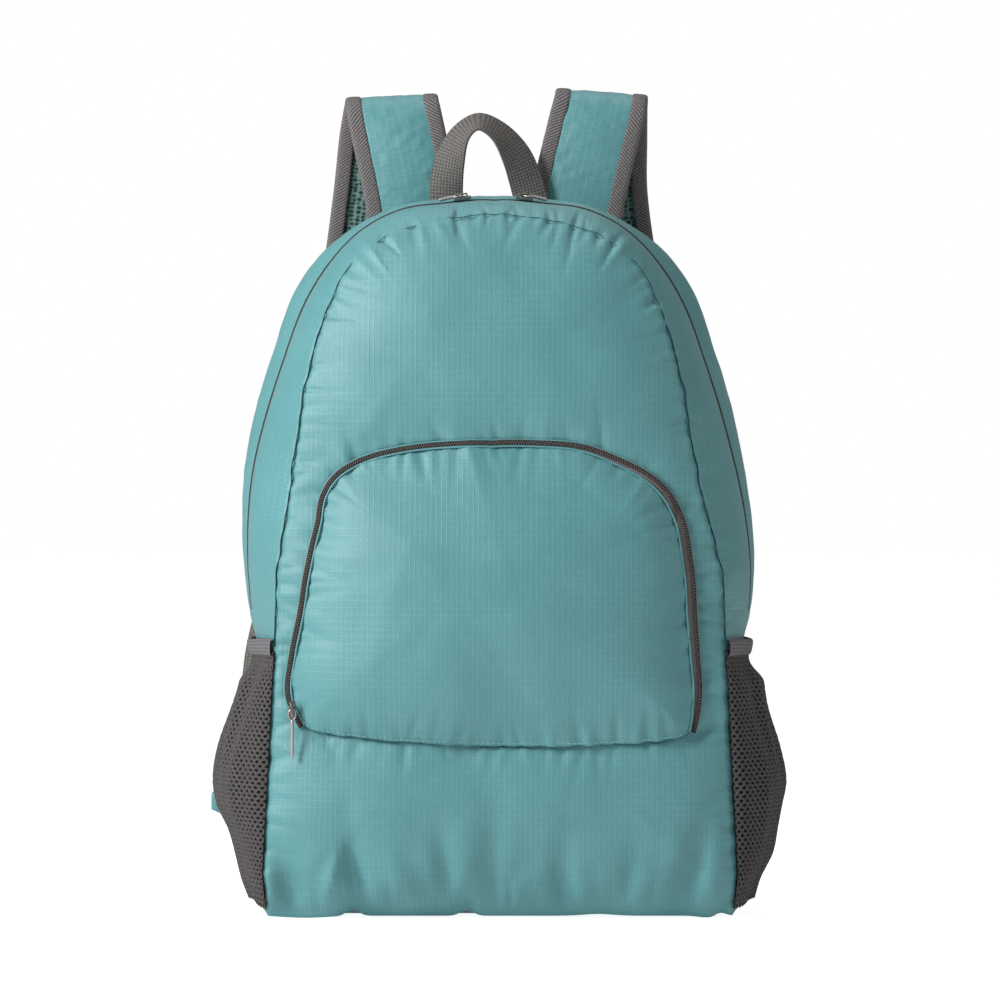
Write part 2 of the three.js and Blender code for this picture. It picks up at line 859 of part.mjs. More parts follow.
for (const [word, side] of [['left', -1], ['right', 1]]) {
  const mesh_side = (lift) => (u, v) => {
    const height = mix(mesh_low, mesh_top, v);
    return off_gusset(...mesh_place(side, u, height), mesh_off(side, u, height) + lift);
  };
  add_piece(`mesh_pocket_${word}`,
    net(mesh_columns, mesh_rows, mesh_hole, mesh_side(mesh_thick), mesh_side(0)), colours.mesh);
  const hem_side = (lift) => (u, v) => {
    const height = mix(hem_top - hem_height, hem_top, v);
    const stand = gap + hem_stand * pocket_belly(u);
    return off_gusset(...mesh_place(side, u, height), stand + lift);
  };
  add_piece(`pocket_hem_${word}`, wall(hem_steps, 1, hem_side(hem_thick), hem_side(0)),
    colours.binding);
}

// Ribbons: straps, webbing and the haul loop

// Stations along a smooth curve through named places. Across is each place's own direction.
// The runs say how many steps the curve takes up to each share of its length.
function stations_along(rows, runs) {
  const curve = new THREE.CatmullRomCurve3(rows.map((row) => row.at), false, 'centripetal');
  const list = [];
  const shares = [0];
  for (const run of runs) {
    const from = shares[shares.length - 1];
    for (let i = 1; i <= run.steps; i += 1) {
      shares.push(mix(from, run.to, i / run.steps));
    }
  }
  for (const share of shares) {
    const t = curve.getUtoTmapping(share);
    const place = t * (rows.length - 1);
    const low = Math.min(Math.floor(place), rows.length - 2);
    const across = rows[low].across.clone().lerp(rows[low + 1].across, place - low);
    const tangent = curve.getTangentAt(share);
    across.addScaledVector(tangent, -across.dot(tangent)).normalize();
    const outwards = new THREE.Vector3().crossVectors(across, tangent).normalize();
    list.push({ middle: curve.getPointAt(share), across, outwards });
  }
  return list;
}

// Each strap leaves the top of the back panel, folds over and comes down behind the bag.
// Left and right are shares of the bag's half width. Back is a share of how far the strap
// stands off, from the back seam's plane at the top. Rise is a share of the strap's rise over
// the bag's top, and drop of its drop below that. Turn slants the strap, in degrees.
const strap_rows = [
  { left: -0.328, right: 0.281, back: 0.2, rise: 0, drop: 0.137, turn: 0 },
  { left: -0.355, right: 0.314, back: 0.217, rise: 0.06, drop: 0, turn: 0 },
  { left: -0.401, right: 0.368, back: 0.267, rise: 0.606, drop: 0, turn: 0 },
  { left: -0.428, right: 0.401, back: 0.342, rise: 0.909, drop: 0, turn: 0 },
  { left: -0.435, right: 0.408, back: 0.517, rise: 1, drop: 0, turn: 0 },
  { left: -0.441, right: 0.408, back: 0.7, rise: 0.924, drop: 0, turn: 0 },
  { left: -0.462, right: 0.408, back: 0.8, rise: 0.636, drop: 0, turn: 2 },
  { left: -0.488, right: 0.411, back: 0.883, rise: 0.076, drop: 0, turn: 5 },
  { left: -0.555, right: 0.482, back: 0.983, rise: 0, drop: 0.316, turn: 10 },
  { left: -0.682, right: 0.615, back: 1, rise: 0, drop: 0.684, turn: 14 },
  { left: -0.783, right: 0.722, back: 0.9, rise: 0, drop: 1, turn: 14 },
];
const strap_runs = [
  { to: 0.19, steps: 4 },
  { to: 0.34, steps: 10 },
  { to: 1, steps: 11 },
];
const top_back = back_depth * depth_rows[depth_rows.length - 1].back;

function strap_path(column) {
  return strap_rows.map((row) => {
    const sign = column === 'left' ? 1 : -1;
    const turn = THREE.MathUtils.degToRad(row.turn);
    return {
      at: new THREE.Vector3(
        half_width * row[column],
        top_back + strap_stand * row.back,
        bag_height + strap_rise * row.rise - strap_drop * row.drop,
      ),
      across: new THREE.Vector3(Math.cos(turn), 0, sign * Math.sin(turn)),
    };
  });
}

function strap_half(run) {
  const taper = THREE.MathUtils.smoothstep(run, taper_start, 1);
  return mix(strap_width, strap_end_width, taper) / 2;
}

function face_section(run) {
  const half = strap_half(run) - binding_thick - gap;
  return [[-half, 0], [half, 0], [half, strap_face], [-half, strap_face]];
}

function lining_section(run) {
  const half = strap_half(run) - binding_thick - gap;
  const low = -gap - strap_padding;
  return [[-half, low], [half, low], [half, -gap], [-half, -gap]];
}

// The binding folds round one edge of the strap, with the cloth and the padding between its legs.
function binding_section(side) {
  return (run) => {
    const edge = strap_half(run);
    const high = strap_face + binding_gap;
    const low = -gap - strap_padding - binding_gap;
    const list = [
      [edge - binding_width, high + binding_thick],
      [edge, high + binding_thick],
      [edge, low - binding_thick],
      [edge - binding_width, low - binding_thick],
      [edge - binding_width, low],
      [edge - binding_thick, low],
      [edge - binding_thick, high],
      [edge - binding_width, high],
    ];
    return side > 0 ? list : list.map(([across, outwards]) => [-across, outwards]).reverse();
  };
}

// Webbing from each buckle down to the anchor tab. Left, right and back are the same shares
// as the strap's, and down is a share of the way from the buckle to the tab's level.
const webbing_rows = [
  { left: -0.91, right: 0.829, back: 0.767, down: 0.13 },
  { left: -0.957, right: 0.863, back: 0.633, down: 0.33 },
  { left: -0.983, right: 0.89, back: 0.483, down: 0.59 },
  { left: -1.017, right: 0.923, back: 0.4, down: 0.75 },
];

// The webbing starts at the far end of the buckle and ends flat on the back of the tab.
function webbing_path(column, starts, ends) {
  const across = new THREE.Vector3(1, 0, column === 'left' ? webbing_lie : -webbing_lie);
  const places = webbing_rows.map((row) => new THREE.Vector3(
    half_width * row[column],
    top_back + strap_stand * row.back,
    mix(starts[1].at.z, tab_level, row.down),
  ));
  return [...starts, ...[...places, ...ends].map((at) => ({ at, across }))];
}

function flat_section(width, thick) {
  return [[-width / 2, 0], [width / 2, 0], [width / 2, thick], [-width / 2, thick]];
}

function placed(station, lift, geometry) {
  const along = new THREE.Vector3().crossVectors(station.outwards, station.across);
  const turn = new THREE.Matrix4().makeBasis(station.across, along, station.outwards);
  turn.setPosition(station.middle.clone().addScaledVector(station.outwards, lift));
  geometry.applyMatrix4(turn);
  return geometry;
}

// A flat frame with one window, for a ladder lock. The bar is wider than the frame's other sides.
function frame_shape(width, length, bar) {
  const shape = new THREE.Shape([
    new THREE.Vector2(-width / 2, 0),
    new THREE.Vector2(width / 2, 0),
    new THREE.Vector2(width / 2, length),
    new THREE.Vector2(-width / 2, length),
  ]);
  const window_low = bar * 1.5;
  shape.holes.push(new THREE.Path([
    new THREE.Vector2(-width / 2 + bar, window_low),
    new THREE.Vector2(-width / 2 + bar, length - bar),
    new THREE.Vector2(width / 2 - bar, length - bar),
    new THREE.Vector2(width / 2 - bar, window_low),
  ]));
  return shape;
}

// Where an anchor tab is sewn: its inner edge on the back panel, close to the back seam
function tab_seat(side) {
  const run = run_at(tab_level) / 2;
  const seam = gusset_point(side < 0 ? run : 1 - run, 1);
  const sewn_x = seam.x - side * tab_sewn;
  return { x: sewn_x, y: back_face(sewn_x, tab_level) + 2 * gap };
}

for (const [word, side] of [['left', -1], ['right', 1]]) {
  const stations = stations_along(strap_path(word), strap_runs);
  add_piece(`strap_${word}`, ribbon(stations, face_section), colours.ripstop);
  add_piece(`strap_lining_${word}`, ribbon(stations, lining_section), colours.air_mesh);
  add_piece(`strap_binding_${word}_outer`, ribbon(stations, binding_section(side)),
    colours.binding);
  add_piece(`strap_binding_${word}_inner`, ribbon(stations, binding_section(-side)),
    colours.binding);

  const end = stations[stations.length - 1];
  const lock = new THREE.ExtrudeGeometry(frame_shape(lock_width, lock_length, lock_bar), {
    depth: lock_thick,
    bevelEnabled: false,
  });
  lock.translate(0, gap, -lock_thick / 2);
  add_piece(`ladder_lock_${word}`, placed(end, 0, lock), colours.plastic, 0.5);

  const seat = tab_seat(side);
  const reach = side < 0 ? tab_reach_left : tab_reach_right;
  const tab = new THREE.ExtrudeGeometry(new THREE.Shape([
    new THREE.Vector2(seat.x, tab_level - tab_height / 2),
    new THREE.Vector2(seat.x + side * (reach + tab_sewn), tab_level - tab_tip / 2),
    new THREE.Vector2(seat.x + side * (reach + tab_sewn), tab_level + tab_tip / 2),
    new THREE.Vector2(seat.x, tab_level + tab_height / 2),
  ]), { depth: tab_thick, bevelEnabled: false });
  tab.rotateX(Math.PI / 2);
  tab.translate(0, seat.y + tab_thick, 0);
  add_piece(`anchor_tab_${word}`, tab, colours.ripstop);

  const along = new THREE.Vector3().crossVectors(end.outwards, end.across);
  const starts = [0, webbing_straight].map((away) => ({
    at: end.middle.clone().addScaledVector(along, lock_length + 2 * gap + away),
    across: end.across,
  }));
  const stops = [webbing_straight * 2, 0].map((above) => new THREE.Vector3(
    seat.x + side * (reach * webbing_seat - above * webbing_lie),
    seat.y + tab_thick + 3 * gap,
    tab_level + above,
  ));
  const webbing = stations_along(webbing_path(word, starts, stops), [{ to: 1, steps: webbing_steps }]);
  add_piece(`webbing_${word}`, ribbon(webbing, flat_section(webbing_width, webbing_thick)),
    colours.binding);
}

// Haul loop: its legs lie flat against the back seam and it turns over at its top.
// X is a share of the loop's spread, lean of how far its top leans to the front, rise of its
// rise over the bag's top, sewn of its sewn ends' drop below that, and turn swings its width.
const haul_rows = [
  { x: -0.97, lean: 0, rise: 0, sewn: 1, turn: 0 },
  { x: -1, lean: 0, rise: 0.087, sewn: 0, turn: 4 },
  { x: -0.906, lean: 0.5, rise: 0.543, sewn: 0, turn: 30 },
  { x: -0.688, lean: 0.833, rise: 0.87, sewn: 0, turn: 65 },
  { x: -0.406, lean: 1, rise: 1, sewn: 0, turn: 92 },
  { x: -0.063, lean: 0.833, rise: 0.891, sewn: 0, turn: 115 },
  { x: 0.281, lean: 0.5, rise: 0.587, sewn: 0, turn: 150 },
  { x: 0.531, lean: 0, rise: 0.13, sewn: 0, turn: 176 },
  { x: 0.656, lean: 0, rise: 0, sewn: 1, turn: 180 },
];
const haul_back = back_reach(bag_height) + back_crown / 2 + haul_thick;
const haul_path = haul_rows.map((row) => {
  const turn = THREE.MathUtils.degToRad(row.turn);
  return {
    at: new THREE.Vector3(
      haul_spread * row.x,
      haul_back - haul_lean * row.lean,
      bag_height + haul_rise * row.rise - haul_sewn * row.sewn,
    ),
    across: new THREE.Vector3(Math.cos(turn), -Math.sin(turn), -haul_tilt * Math.sin(turn)),
  };
});
add_piece('haul_loop', ribbon(
  stations_along(haul_path, [{ to: 1, steps: haul_steps }]),
  flat_section(haul_width, haul_thick),
), colours.binding);

// Sliders and pulls

function solid_of(geometry) {
  const bare = geometry.clone();
  bare.deleteAttribute('normal');
  bare.deleteAttribute('uv');
  const merged = mergeVertices(bare, 1e-3);
  return new wasm.Manifold(new wasm.Mesh({
    numProp: 3,
    vertProperties: Float32Array.from(merged.attributes.position.array),
    triVerts: Uint32Array.from(merged.index.array),
  }));
}

function joined(first, second) {
  const mesh = solid_of(first).add(solid_of(second)).getMesh();
  const geometry = new THREE.BufferGeometry();
  geometry.setAttribute('position', new THREE.BufferAttribute(mesh.vertProperties, 3));
  geometry.setIndex(new THREE.BufferAttribute(mesh.triVerts, 1));
  return geometry;
}

function plate(places, depth, hole) {
  const shape = new THREE.Shape(places.map(([x, y]) => new THREE.Vector2(x, y)));
  if (hole) {
    shape.holes.push(new THREE.Path(hole.map(([x, y]) => new THREE.Vector2(x, y))));
  }
  return new THREE.ExtrudeGeometry(shape, { depth, bevelEnabled: false });
}

// The slider runs along its own Y, its width is X and it stands up along Z.
function slider_geometry() {
  const [half, end] = [slider_width / 2, slider_length / 2];
  const nose = slider_nose / 2;
  const body = plate([
    [-half, end], [-half, -slider_shoulder], [-nose, -end],
    [nose, -end], [half, -slider_shoulder], [half, end],
  ], slider_thick);
  const top = bridge_window + bridge_wall;
  const reach = bridge_length / 2;
  const bridge = plate([
    [-reach, -bridge_sunk], [reach, -bridge_sunk], [reach, top - bridge_corner],
    [reach - bridge_wall, top], [-reach + bridge_wall, top], [-reach, top - bridge_corner],
  ], bridge_width, [
    [-reach + bridge_wall, 0], [-reach + bridge_wall, bridge_window],
    [reach - bridge_wall, bridge_window], [reach - bridge_wall, 0],
  ]);
  bridge.translate(0, 0, -bridge_width / 2);
  bridge.rotateX(Math.PI / 2);
  bridge.rotateZ(Math.PI / 2);
  bridge.translate(0, 0, slider_thick);
  return joined(body, bridge);
}

// The pull's pin lies on X through its origin, and the pull reaches along Y.
function pull_geometry(length) {
  const half_eye = bridge_width / 2 + eye_clearance + pull_thick;
  const half_hole = bridge_width / 2 + eye_clearance;
  const [low, high] = [pull_thick / 2, pull_eye_length];
  const half = pull_width / 2;
  const geometry = plate([
    [-half_eye, -low], [half_eye, -low], [half_eye, high], [half, high + pull_thick],
    [half, length], [-half, length], [-half, high + pull_thick], [-half_eye, high],
  ], pull_thick, [
    [-half_hole, low], [-half_hole, high], [half_hole, high], [half_hole, low],
  ]);
  geometry.translate(0, 0, -pull_thick / 2);
  return geometry;
}

// A slider and its pull at a place: run is the way that the pull lies, up is off the tape.
function add_slider(name, pull_name, pull_length, origin, run, up) {
  const across = new THREE.Vector3().crossVectors(run, up).normalize();
  const square_run = new THREE.Vector3().crossVectors(up, across).normalize();
  const frame = new THREE.Matrix4().makeBasis(across, square_run, up);
  frame.setPosition(origin);
  const pin = origin.clone().addScaledVector(up, slider_thick + bridge_window / 2);
  const pull_frame = frame.clone().setPosition(pin);
  add_piece(name, slider_geometry().applyMatrix4(frame), colours.metal, 0.35, 1);
  add_piece(pull_name, pull_geometry(pull_length).applyMatrix4(pull_frame), colours.metal, 0.35, 1);
}

const pocket_slider_place = pocket_outline(slider_run);
const corners = [-1, 1].flatMap((x) => [-1, 0, 1].map((z) => [x, z]));
const pocket_slider_y = Math.min(...corners.map(([x, z]) => panel_seat(
  pocket_slider_place.x + x * slider_width / 2,
  pocket_slider_place.z + z * slider_length / 2,
))) - chain_thick - gap;
add_slider(
  'pocket_slider',
  'pocket_pull',
  pocket_pull_length,
  new THREE.Vector3(pocket_slider_place.x, pocket_slider_y, pocket_slider_place.z),
  new THREE.Vector3(0, 0, -1),
  new THREE.Vector3(0, -1, 0),
);

// The place along the gusset where the zip passes a sideways distance from the middle
function along_at(x) {
  let [low, high] = [0.3, 0.7];
  for (let i = 0; i < 40; i += 1) {
    const middle = (low + high) / 2;
    if (gusset_point(middle, zip_depth_at(middle)).x < x) {
      low = middle;
    } else {
      high = middle;
    }
  }
  return low;
}

for (const [word, x, way] of [['left', main_slider_left, -1], ['right', main_slider_right, 1]]) {
  const along = along_at(x);
  const depth = zip_depth_at(along);
  const up = gusset_normal(along, depth);
  const step = 0.01;
  const ahead = gusset_point(along + step, zip_depth_at(along + step));
  const before = gusset_point(along - step, zip_depth_at(along - step));
  const run = ahead.sub(before).normalize().multiplyScalar(way);
  run.addScaledVector(up, -run.dot(up)).normalize();
  add_slider(`main_slider_${word}`, `main_pull_${word}`, main_pull_length,
    off_gusset(along, depth, 2 * gap), run, up);
}

export default bag;
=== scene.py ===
import json
import math

import bpy
import numpy as np
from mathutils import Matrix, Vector
from mathutils.geometry import delaunay_2d_cdt


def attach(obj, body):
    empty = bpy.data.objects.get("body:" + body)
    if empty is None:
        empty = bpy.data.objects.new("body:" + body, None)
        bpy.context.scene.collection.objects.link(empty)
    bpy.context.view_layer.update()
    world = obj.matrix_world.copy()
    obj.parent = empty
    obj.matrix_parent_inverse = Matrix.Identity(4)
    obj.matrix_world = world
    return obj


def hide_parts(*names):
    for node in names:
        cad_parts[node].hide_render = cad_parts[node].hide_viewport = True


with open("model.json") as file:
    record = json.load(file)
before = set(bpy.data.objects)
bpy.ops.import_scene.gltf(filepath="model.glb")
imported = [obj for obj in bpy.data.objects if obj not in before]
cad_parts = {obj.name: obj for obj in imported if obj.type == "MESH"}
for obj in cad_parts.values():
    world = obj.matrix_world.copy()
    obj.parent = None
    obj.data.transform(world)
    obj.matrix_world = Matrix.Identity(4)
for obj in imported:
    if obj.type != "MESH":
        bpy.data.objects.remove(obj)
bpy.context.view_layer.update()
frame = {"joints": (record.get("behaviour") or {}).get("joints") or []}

# Front panel. One cut of thin coated ripstop nylon, a tall arch with a straight foot, sewn into
# the gusset all the way round. The seam gathers it a little, so it crowns in the middle, and
# puckers and soft dents run in from its edges.
bag_height = 0.420
half_width = 0.1495
spring_height = 0.200
lip = 0.0063
flank_share = 0.4
front_depth = 0.058
back_depth = 0.052
front_crown = 0.015
crown_reach = 0.075
zip_place = -0.007
widest_share = 0.42


def hermite(share, span, low, low_slope, high, high_slope):
    """A smooth step from one value and slope to the next."""
    cubed, squared = share**3, share**2
    return (
        (2 * cubed - 3 * squared + 1) * low
        + (cubed - 2 * squared + share) * span * low_slope
        + (3 * squared - 2 * cubed) * high
        + (cubed - squared) * span * high_slope
    )


def smooth_curve(places, values):
    """A smooth curve through a short list of values."""
    places, values = np.array(places, float), np.array(values, float)
    slopes = np.gradient(values)
    slopes[1:-1] = (values[2:] - values[:-2]) / (places[2:] - places[:-2])
    slopes[0] = (values[1] - values[0]) / (places[1] - places[0])
    slopes[-1] = (values[-1] - values[-2]) / (places[-1] - places[-2])

    def at(place):
        low = np.clip(np.searchsorted(places, place, side="right") - 1, 0, len(places) - 2)
        span = places[low + 1] - places[low]
        share = np.clip((place - places[low]) / span, 0, 1)
        return hermite(share, span, values[low], slopes[low], values[low + 1], slopes[low + 1])

    return at


# The four lines that run over the bag, as reaches along rays above the spring line, in degrees,
# and as half widths at shares of the spring height below it
arch_rays = (0, 12, 24, 34, 44, 52, 60, 69, 79, 90)
arch_reaches = {
    "seam": (0.859, 0.824, 0.836, 0.88, 0.93, 0.972, 0.985, 0.97, 0.95, 0.943),
    "zip": (0.985, 0.985, 0.985, 0.998, 1.03, 1.045, 1.048, 1.032, 1.0, 0.989),
    "side": (0.998, 1.015, 1.032, 1.05, 1.085, 1.086, 1.068, 1.042, 1.012, 1.0),
    "back": (0.95, 0.97, 0.98, 0.995, 1.015, 1.02, 1.012, 0.995, 0.97, 0.96),
}
flank_heights = (0, 0.15, 0.45, 0.7, 0.79, 0.88, 1)
flank_widths = {
    "seam": (0.918, 0.91, 0.888, 0.872, 0.87, 0.866, 0.859),
    "zip": (0.94, 0.937, 0.935, 0.93, 0.94, 0.972, 0.985),
    "side": (0.942, 0.942, 0.94, 0.935, 0.948, 0.982, 0.998),
    "back": (0.91, 0.912, 0.915, 0.915, 0.92, 0.94, 0.95),
}
depth_heights = (0, 0.2, 0.5, 0.75, 0.92, 1)
arch_lines = {name: smooth_curve(arch_rays, row) for name, row in arch_reaches.items()}
flank_lines = {name: smooth_curve(flank_heights, row) for name, row in flank_widths.items()}
front_line = smooth_curve(depth_heights, (0.94, 1, 0.98, 0.86, 0.7, 0.62))
back_line = smooth_curve(depth_heights, (0.95, 1, 1, 0.92, 0.78, 0.7))


def front_reach(height):
    return front_depth * front_line(height / bag_height)


def back_reach(height):
    return back_depth * back_line(height / bag_height)


def eased(value):
    """From 0 to 1 with a soft start and end."""
    share = np.clip(value, 0, 1)
    return share * share * (3 - 2 * share)


def lean(height):
    """How far the bag's upper part stands to the left."""
    return -0.0035 * eased((height - 0.180) / 0.100)


def half_rim(line, run):
    """Sideways reach and height along one of the four lines, from the lip at 0 to the top at 1."""
    run = np.asarray(run, float)
    low_z = lip + (spring_height - lip) * run / flank_share
    ray = np.clip(90 * (run - flank_share) / (1 - flank_share), 0, 90)
    reach, angle = arch_lines[line](ray), np.radians(ray)
    high_x = half_width * reach * np.cos(angle)
    high_z = spring_height + (bag_height - spring_height) * reach * np.sin(angle)
    low_x = half_width * flank_lines[line](low_z / spring_height)
    if line == "seam":
        drawn = 0.0002 * np.sin(run * 205) + 0.0003 * np.sin(run * 83 + 1)
        drawn = drawn + 0.0002 * np.sin(run * 141 + 2)
        drawn = drawn * np.clip((run - 0.3) / 0.1, 0, 1)
        high_x, high_z = high_x + drawn * np.cos(angle), high_z + drawn * np.sin(angle)
        low_x = low_x + drawn
    below = run < flank_share
    return np.where(below, low_x, high_x), np.where(below, low_z, high_z)


def way_along(line):
    """How far along a line each of its points lies."""
    return np.r_[0, np.cumsum(np.linalg.norm(np.diff(line, axis=0), axis=1))]


def unit(vectors):
    """The same vectors with a length of one."""
    return vectors / np.maximum(np.linalg.norm(vectors, axis=-1), 1e-12)[..., None]


def heading(line):
    """The direction of a line at each of its points."""
    return unit(np.gradient(line, axis=0))


def length_round(loop):
    return np.linalg.norm(np.roll(loop, -1, axis=0) - loop, axis=1).sum()


def even_steps(line, spacing):
    """The same open line, with its points evenly spaced."""
    steps = way_along(line)
    count = max(int(round(steps[-1] / spacing)), 2)
    places = np.linspace(0, steps[-1], count + 1)
    return np.column_stack([np.interp(places, steps, column) for column in line.T])


def panel_loop(line, spacing):
    """A panel's closed cutting line in x and z: over the arch, then back along the foot."""
    along = np.linspace(0, 1, 1201)
    x, z = half_rim(line, 1 - np.abs(2 * along - 1))
    arch = np.column_stack([np.sign(along - 0.5 + 1e-9) * x + lean(z), z])
    foot = np.array([arch[-1], arch[0]])
    return np.vstack([even_steps(arch, spacing)[:-1], even_steps(foot, spacing)[:-1]])


def beside(loop, points, closed=True):
    """How far points lie from a line, and how far along it their nearest spot is."""
    start = loop if closed else loop[:-1]
    ahead = (np.roll(loop, -1, axis=0) - loop)[: len(start)]
    length = np.maximum(np.linalg.norm(ahead, axis=1), 1e-9)
    begun = np.r_[0, np.cumsum(length)[:-1]]
    away, along = np.full(len(points), np.inf), np.zeros(len(points))
    for k in range(len(start)):
        offset = points - start[k]
        share = np.clip(offset @ ahead[k] / length[k] ** 2, 0, 1)
        gap = np.linalg.norm(offset - share[:, None] * ahead[k], axis=1)
        nearer = gap < away
        away[nearer] = gap[nearer]
        along[nearer] = (begun[k] + share * length[k])[nearer]
    return away, along


def inside(loop, points):
    """Which points lie within a closed line."""
    crossings = np.zeros(len(points), int)
    for start, end in zip(loop, np.roll(loop, -1, axis=0)):
        spans = (start[1] > points[:, 1]) != (end[1] > points[:, 1])
        rise = end[1] - start[1]
        if abs(rise) > 1e-12:
            x = start[0] + (points[:, 1] - start[1]) * (end[0] - start[0]) / rise
            crossings += spans & (points[:, 0] < x)
    return crossings % 2 == 1


def cut_cloth(loop, spacing):
    """Flat cloth within a cutting line: its points and faces."""
    low, high = loop.min(0), loop.max(0)
    middle = (low + high) / 2
    counts = np.ceil((high - middle) / spacing).astype(int)
    x = middle[0] + spacing * np.arange(-counts[0], counts[0] + 1)
    z = middle[1] + spacing * np.arange(-counts[1], counts[1] + 1)
    grid = np.array(np.meshgrid(x, z)).reshape(2, -1).T
    grid = grid[inside(loop, grid)]
    grid = grid[beside(loop, grid)[0] > 0.55 * spacing]
    points = [Vector(point) for point in np.vstack([loop, grid])]
    edges = [(k, (k + 1) % len(loop)) for k in range(len(loop))]
    corners, _, faces, *_ = delaunay_2d_cdt(points, edges, [], 1, 1e-7)
    return np.array([tuple(corner) for corner in corners]), [tuple(face) for face in faces]


def sewn_piece(name, points, faces, cut, material):
    """A mesh piece. Cut gives each point's place on the flat cloth, in metres."""
    mesh = bpy.data.meshes.new(name)
    mesh.from_pydata(np.asarray(points).tolist(), [], faces)
    corners = np.empty(len(mesh.loops), int)
    mesh.loops.foreach_get("vertex_index", corners)
    layer = mesh.uv_layers.new(name="cut")
    layer.data.foreach_set("uv", np.asarray(cut, float)[corners].ravel())
    mesh.shade_smooth()
    mesh.materials.append(material)
    piece = bpy.data.objects.new(name, mesh)
    bpy.context.scene.collection.objects.link(piece)
    return piece


def points_of(mesh):
    points = np.empty(len(mesh.vertices) * 3)
    mesh.vertices.foreach_get("co", points)
    return points.reshape(-1, 3)


def normals_of(mesh):
    normals = np.empty(len(mesh.vertices) * 3)
    mesh.vertices.foreach_get("normal", normals)
    return normals.reshape(-1, 3)


def move_points(mesh, points):
    mesh.vertices.foreach_set("co", np.asarray(points, float).ravel())
    mesh.update()


def settle(piece, held, fullness, push, most, steps=16, bend=0.6, ironed=0, seed=1):
    """Lets cloth that is cut a little too full find its folds between its held points."""
    grown = 10
    mesh = piece.data
    start = points_of(mesh)
    jitter = np.random.default_rng(seed).normal(0, 0.0003, len(start))
    jitter[held] = 0
    loose = start + normals_of(mesh) * jitter[:, None]
    move_points(mesh, loose * grown)
    piece.shape_key_add(name="sewn")
    full = piece.shape_key_add(name="cut")
    middle = start.mean(0)
    full.data.foreach_set("co", ((middle + (start - middle) * (1 + fullness)) * grown).ravel())
    pins = piece.vertex_groups.new(name="held")
    pins.add(np.flatnonzero(held).tolist(), 1.0, "REPLACE")
    cloth = piece.modifiers.new("settle", "CLOTH")
    settings = cloth.settings
    settings.quality = 5
    settings.mass = 0.3
    settings.tension_stiffness = 15
    settings.compression_stiffness = 15
    settings.shear_stiffness = 8
    settings.bending_stiffness = bend
    settings.air_damping = 1
    settings.vertex_group_mass = "held"
    settings.rest_shape_key = full
    settings.use_pressure = True
    settings.uniform_pressure_force = push
    settings.effector_weights.gravity = 0
    cloth.point_cache.frame_start = 1
    cloth.point_cache.frame_end = steps
    scene = bpy.context.scene
    for step in range(1, steps + 1):
        scene.frame_set(step)
    seen = piece.evaluated_get(bpy.context.evaluated_depsgraph_get())
    moved = points_of(seen.data) / grown - start
    piece.modifiers.remove(cloth)
    piece.shape_key_clear()
    piece.vertex_groups.clear()
    scene.frame_set(1)
    ends = np.array([edge.vertices[:] for edge in mesh.edges])
    beside_it = np.bincount(ends.ravel(), minlength=len(start))[:, None]
    for _ in range(ironed):
        around = np.zeros_like(moved)
        np.add.at(around, ends[:, 0], moved[ends[:, 1]])
        np.add.at(around, ends[:, 1], moved[ends[:, 0]])
        moved = 0.4 * moved + 0.6 * around / beside_it
        moved[held] = 0
    far = np.maximum(np.linalg.norm(moved, axis=1), 1e-9)
    moved *= (most * np.tanh(far / most) / far)[:, None]
    moved[held] = 0
    move_points(mesh, start + moved)


def finer(piece, levels=1):
    """The same piece with a smooth, finer mesh."""
    rounding = piece.modifiers.new("finer", "SUBSURF")
    rounding.levels = rounding.render_levels = levels
    rounding.boundary_smooth = "PRESERVE_CORNERS"
    seen = piece.evaluated_get(bpy.context.evaluated_depsgraph_get())
    mesh = bpy.data.meshes.new_from_object(seen)
    piece.modifiers.clear()
    piece.data = mesh
    mesh.shade_smooth()
    return mesh


def gathers(away, along, length, pitch, reach, depth, seed):
    """How deep the puckers of a seam are: short uneven folds that run in square to it."""
    chance = np.random.default_rng(seed)
    sunk = np.zeros(len(away))
    place = 0.0
    while place < length:
        place += pitch * chance.uniform(0.55, 1.5)
        wide = pitch * chance.uniform(0.22, 0.42)
        long = reach * chance.uniform(0.35, 1.6)
        deep = depth * chance.uniform(0.2, 1.0) * chance.choice((1, 1, -0.7))
        slant = chance.uniform(-0.35, 0.35)
        offset = (along - place + length / 2) % length - length / 2 + slant * away
        near = (np.abs(offset) < 3 * wide) & (away < 2.6 * long)
        sunk[near] += deep * np.exp(-((offset[near] / wide) ** 2) - (away[near] / long) ** 2)
    return sunk


def near_top(points):
    """From 0 to 1 towards the top of the bag, where the seam is drawn in harder."""
    return np.clip((points[:, 2] - 0.33) / 0.05, 0, 1)


def seam_puckers(points, away, along, reach, depth, growth, groove):
    """The front seam's puckers, stronger near the top, and its groove, weaker there."""
    at_top = near_top(points)
    sunk = gathers(away, along, seam_length, pitch=0.0075, reach=reach, depth=depth, seed=3)
    sunk *= 1 + growth * at_top
    return sunk + groove * (1 - 0.6 * at_top) * np.exp(-((away / 0.0011) ** 2))


def new_material(name):
    """A material, its surface shader, and a way to add nodes that feed one another."""
    material = bpy.data.materials.new(name)
    material.use_nodes = True
    tree = material.node_tree
    surface = tree.nodes["Principled BSDF"]

    def add(kind, feeds, **settings):
        node = tree.nodes.new("ShaderNode" + kind)
        for setting, value in settings.items():
            setattr(node, setting, value)
        join(node, feeds)
        return node

    def join(node, feeds):
        for socket, feed in feeds.items():
            if isinstance(feed, bpy.types.NodeSocket):
                tree.links.new(feed, node.inputs[socket])
            else:
                node.inputs[socket].default_value = feed

    return material, surface, add, join


def maths(add, operation, first, second):
    return add("Math", {0: first, 1: second}, operation=operation).outputs[0]


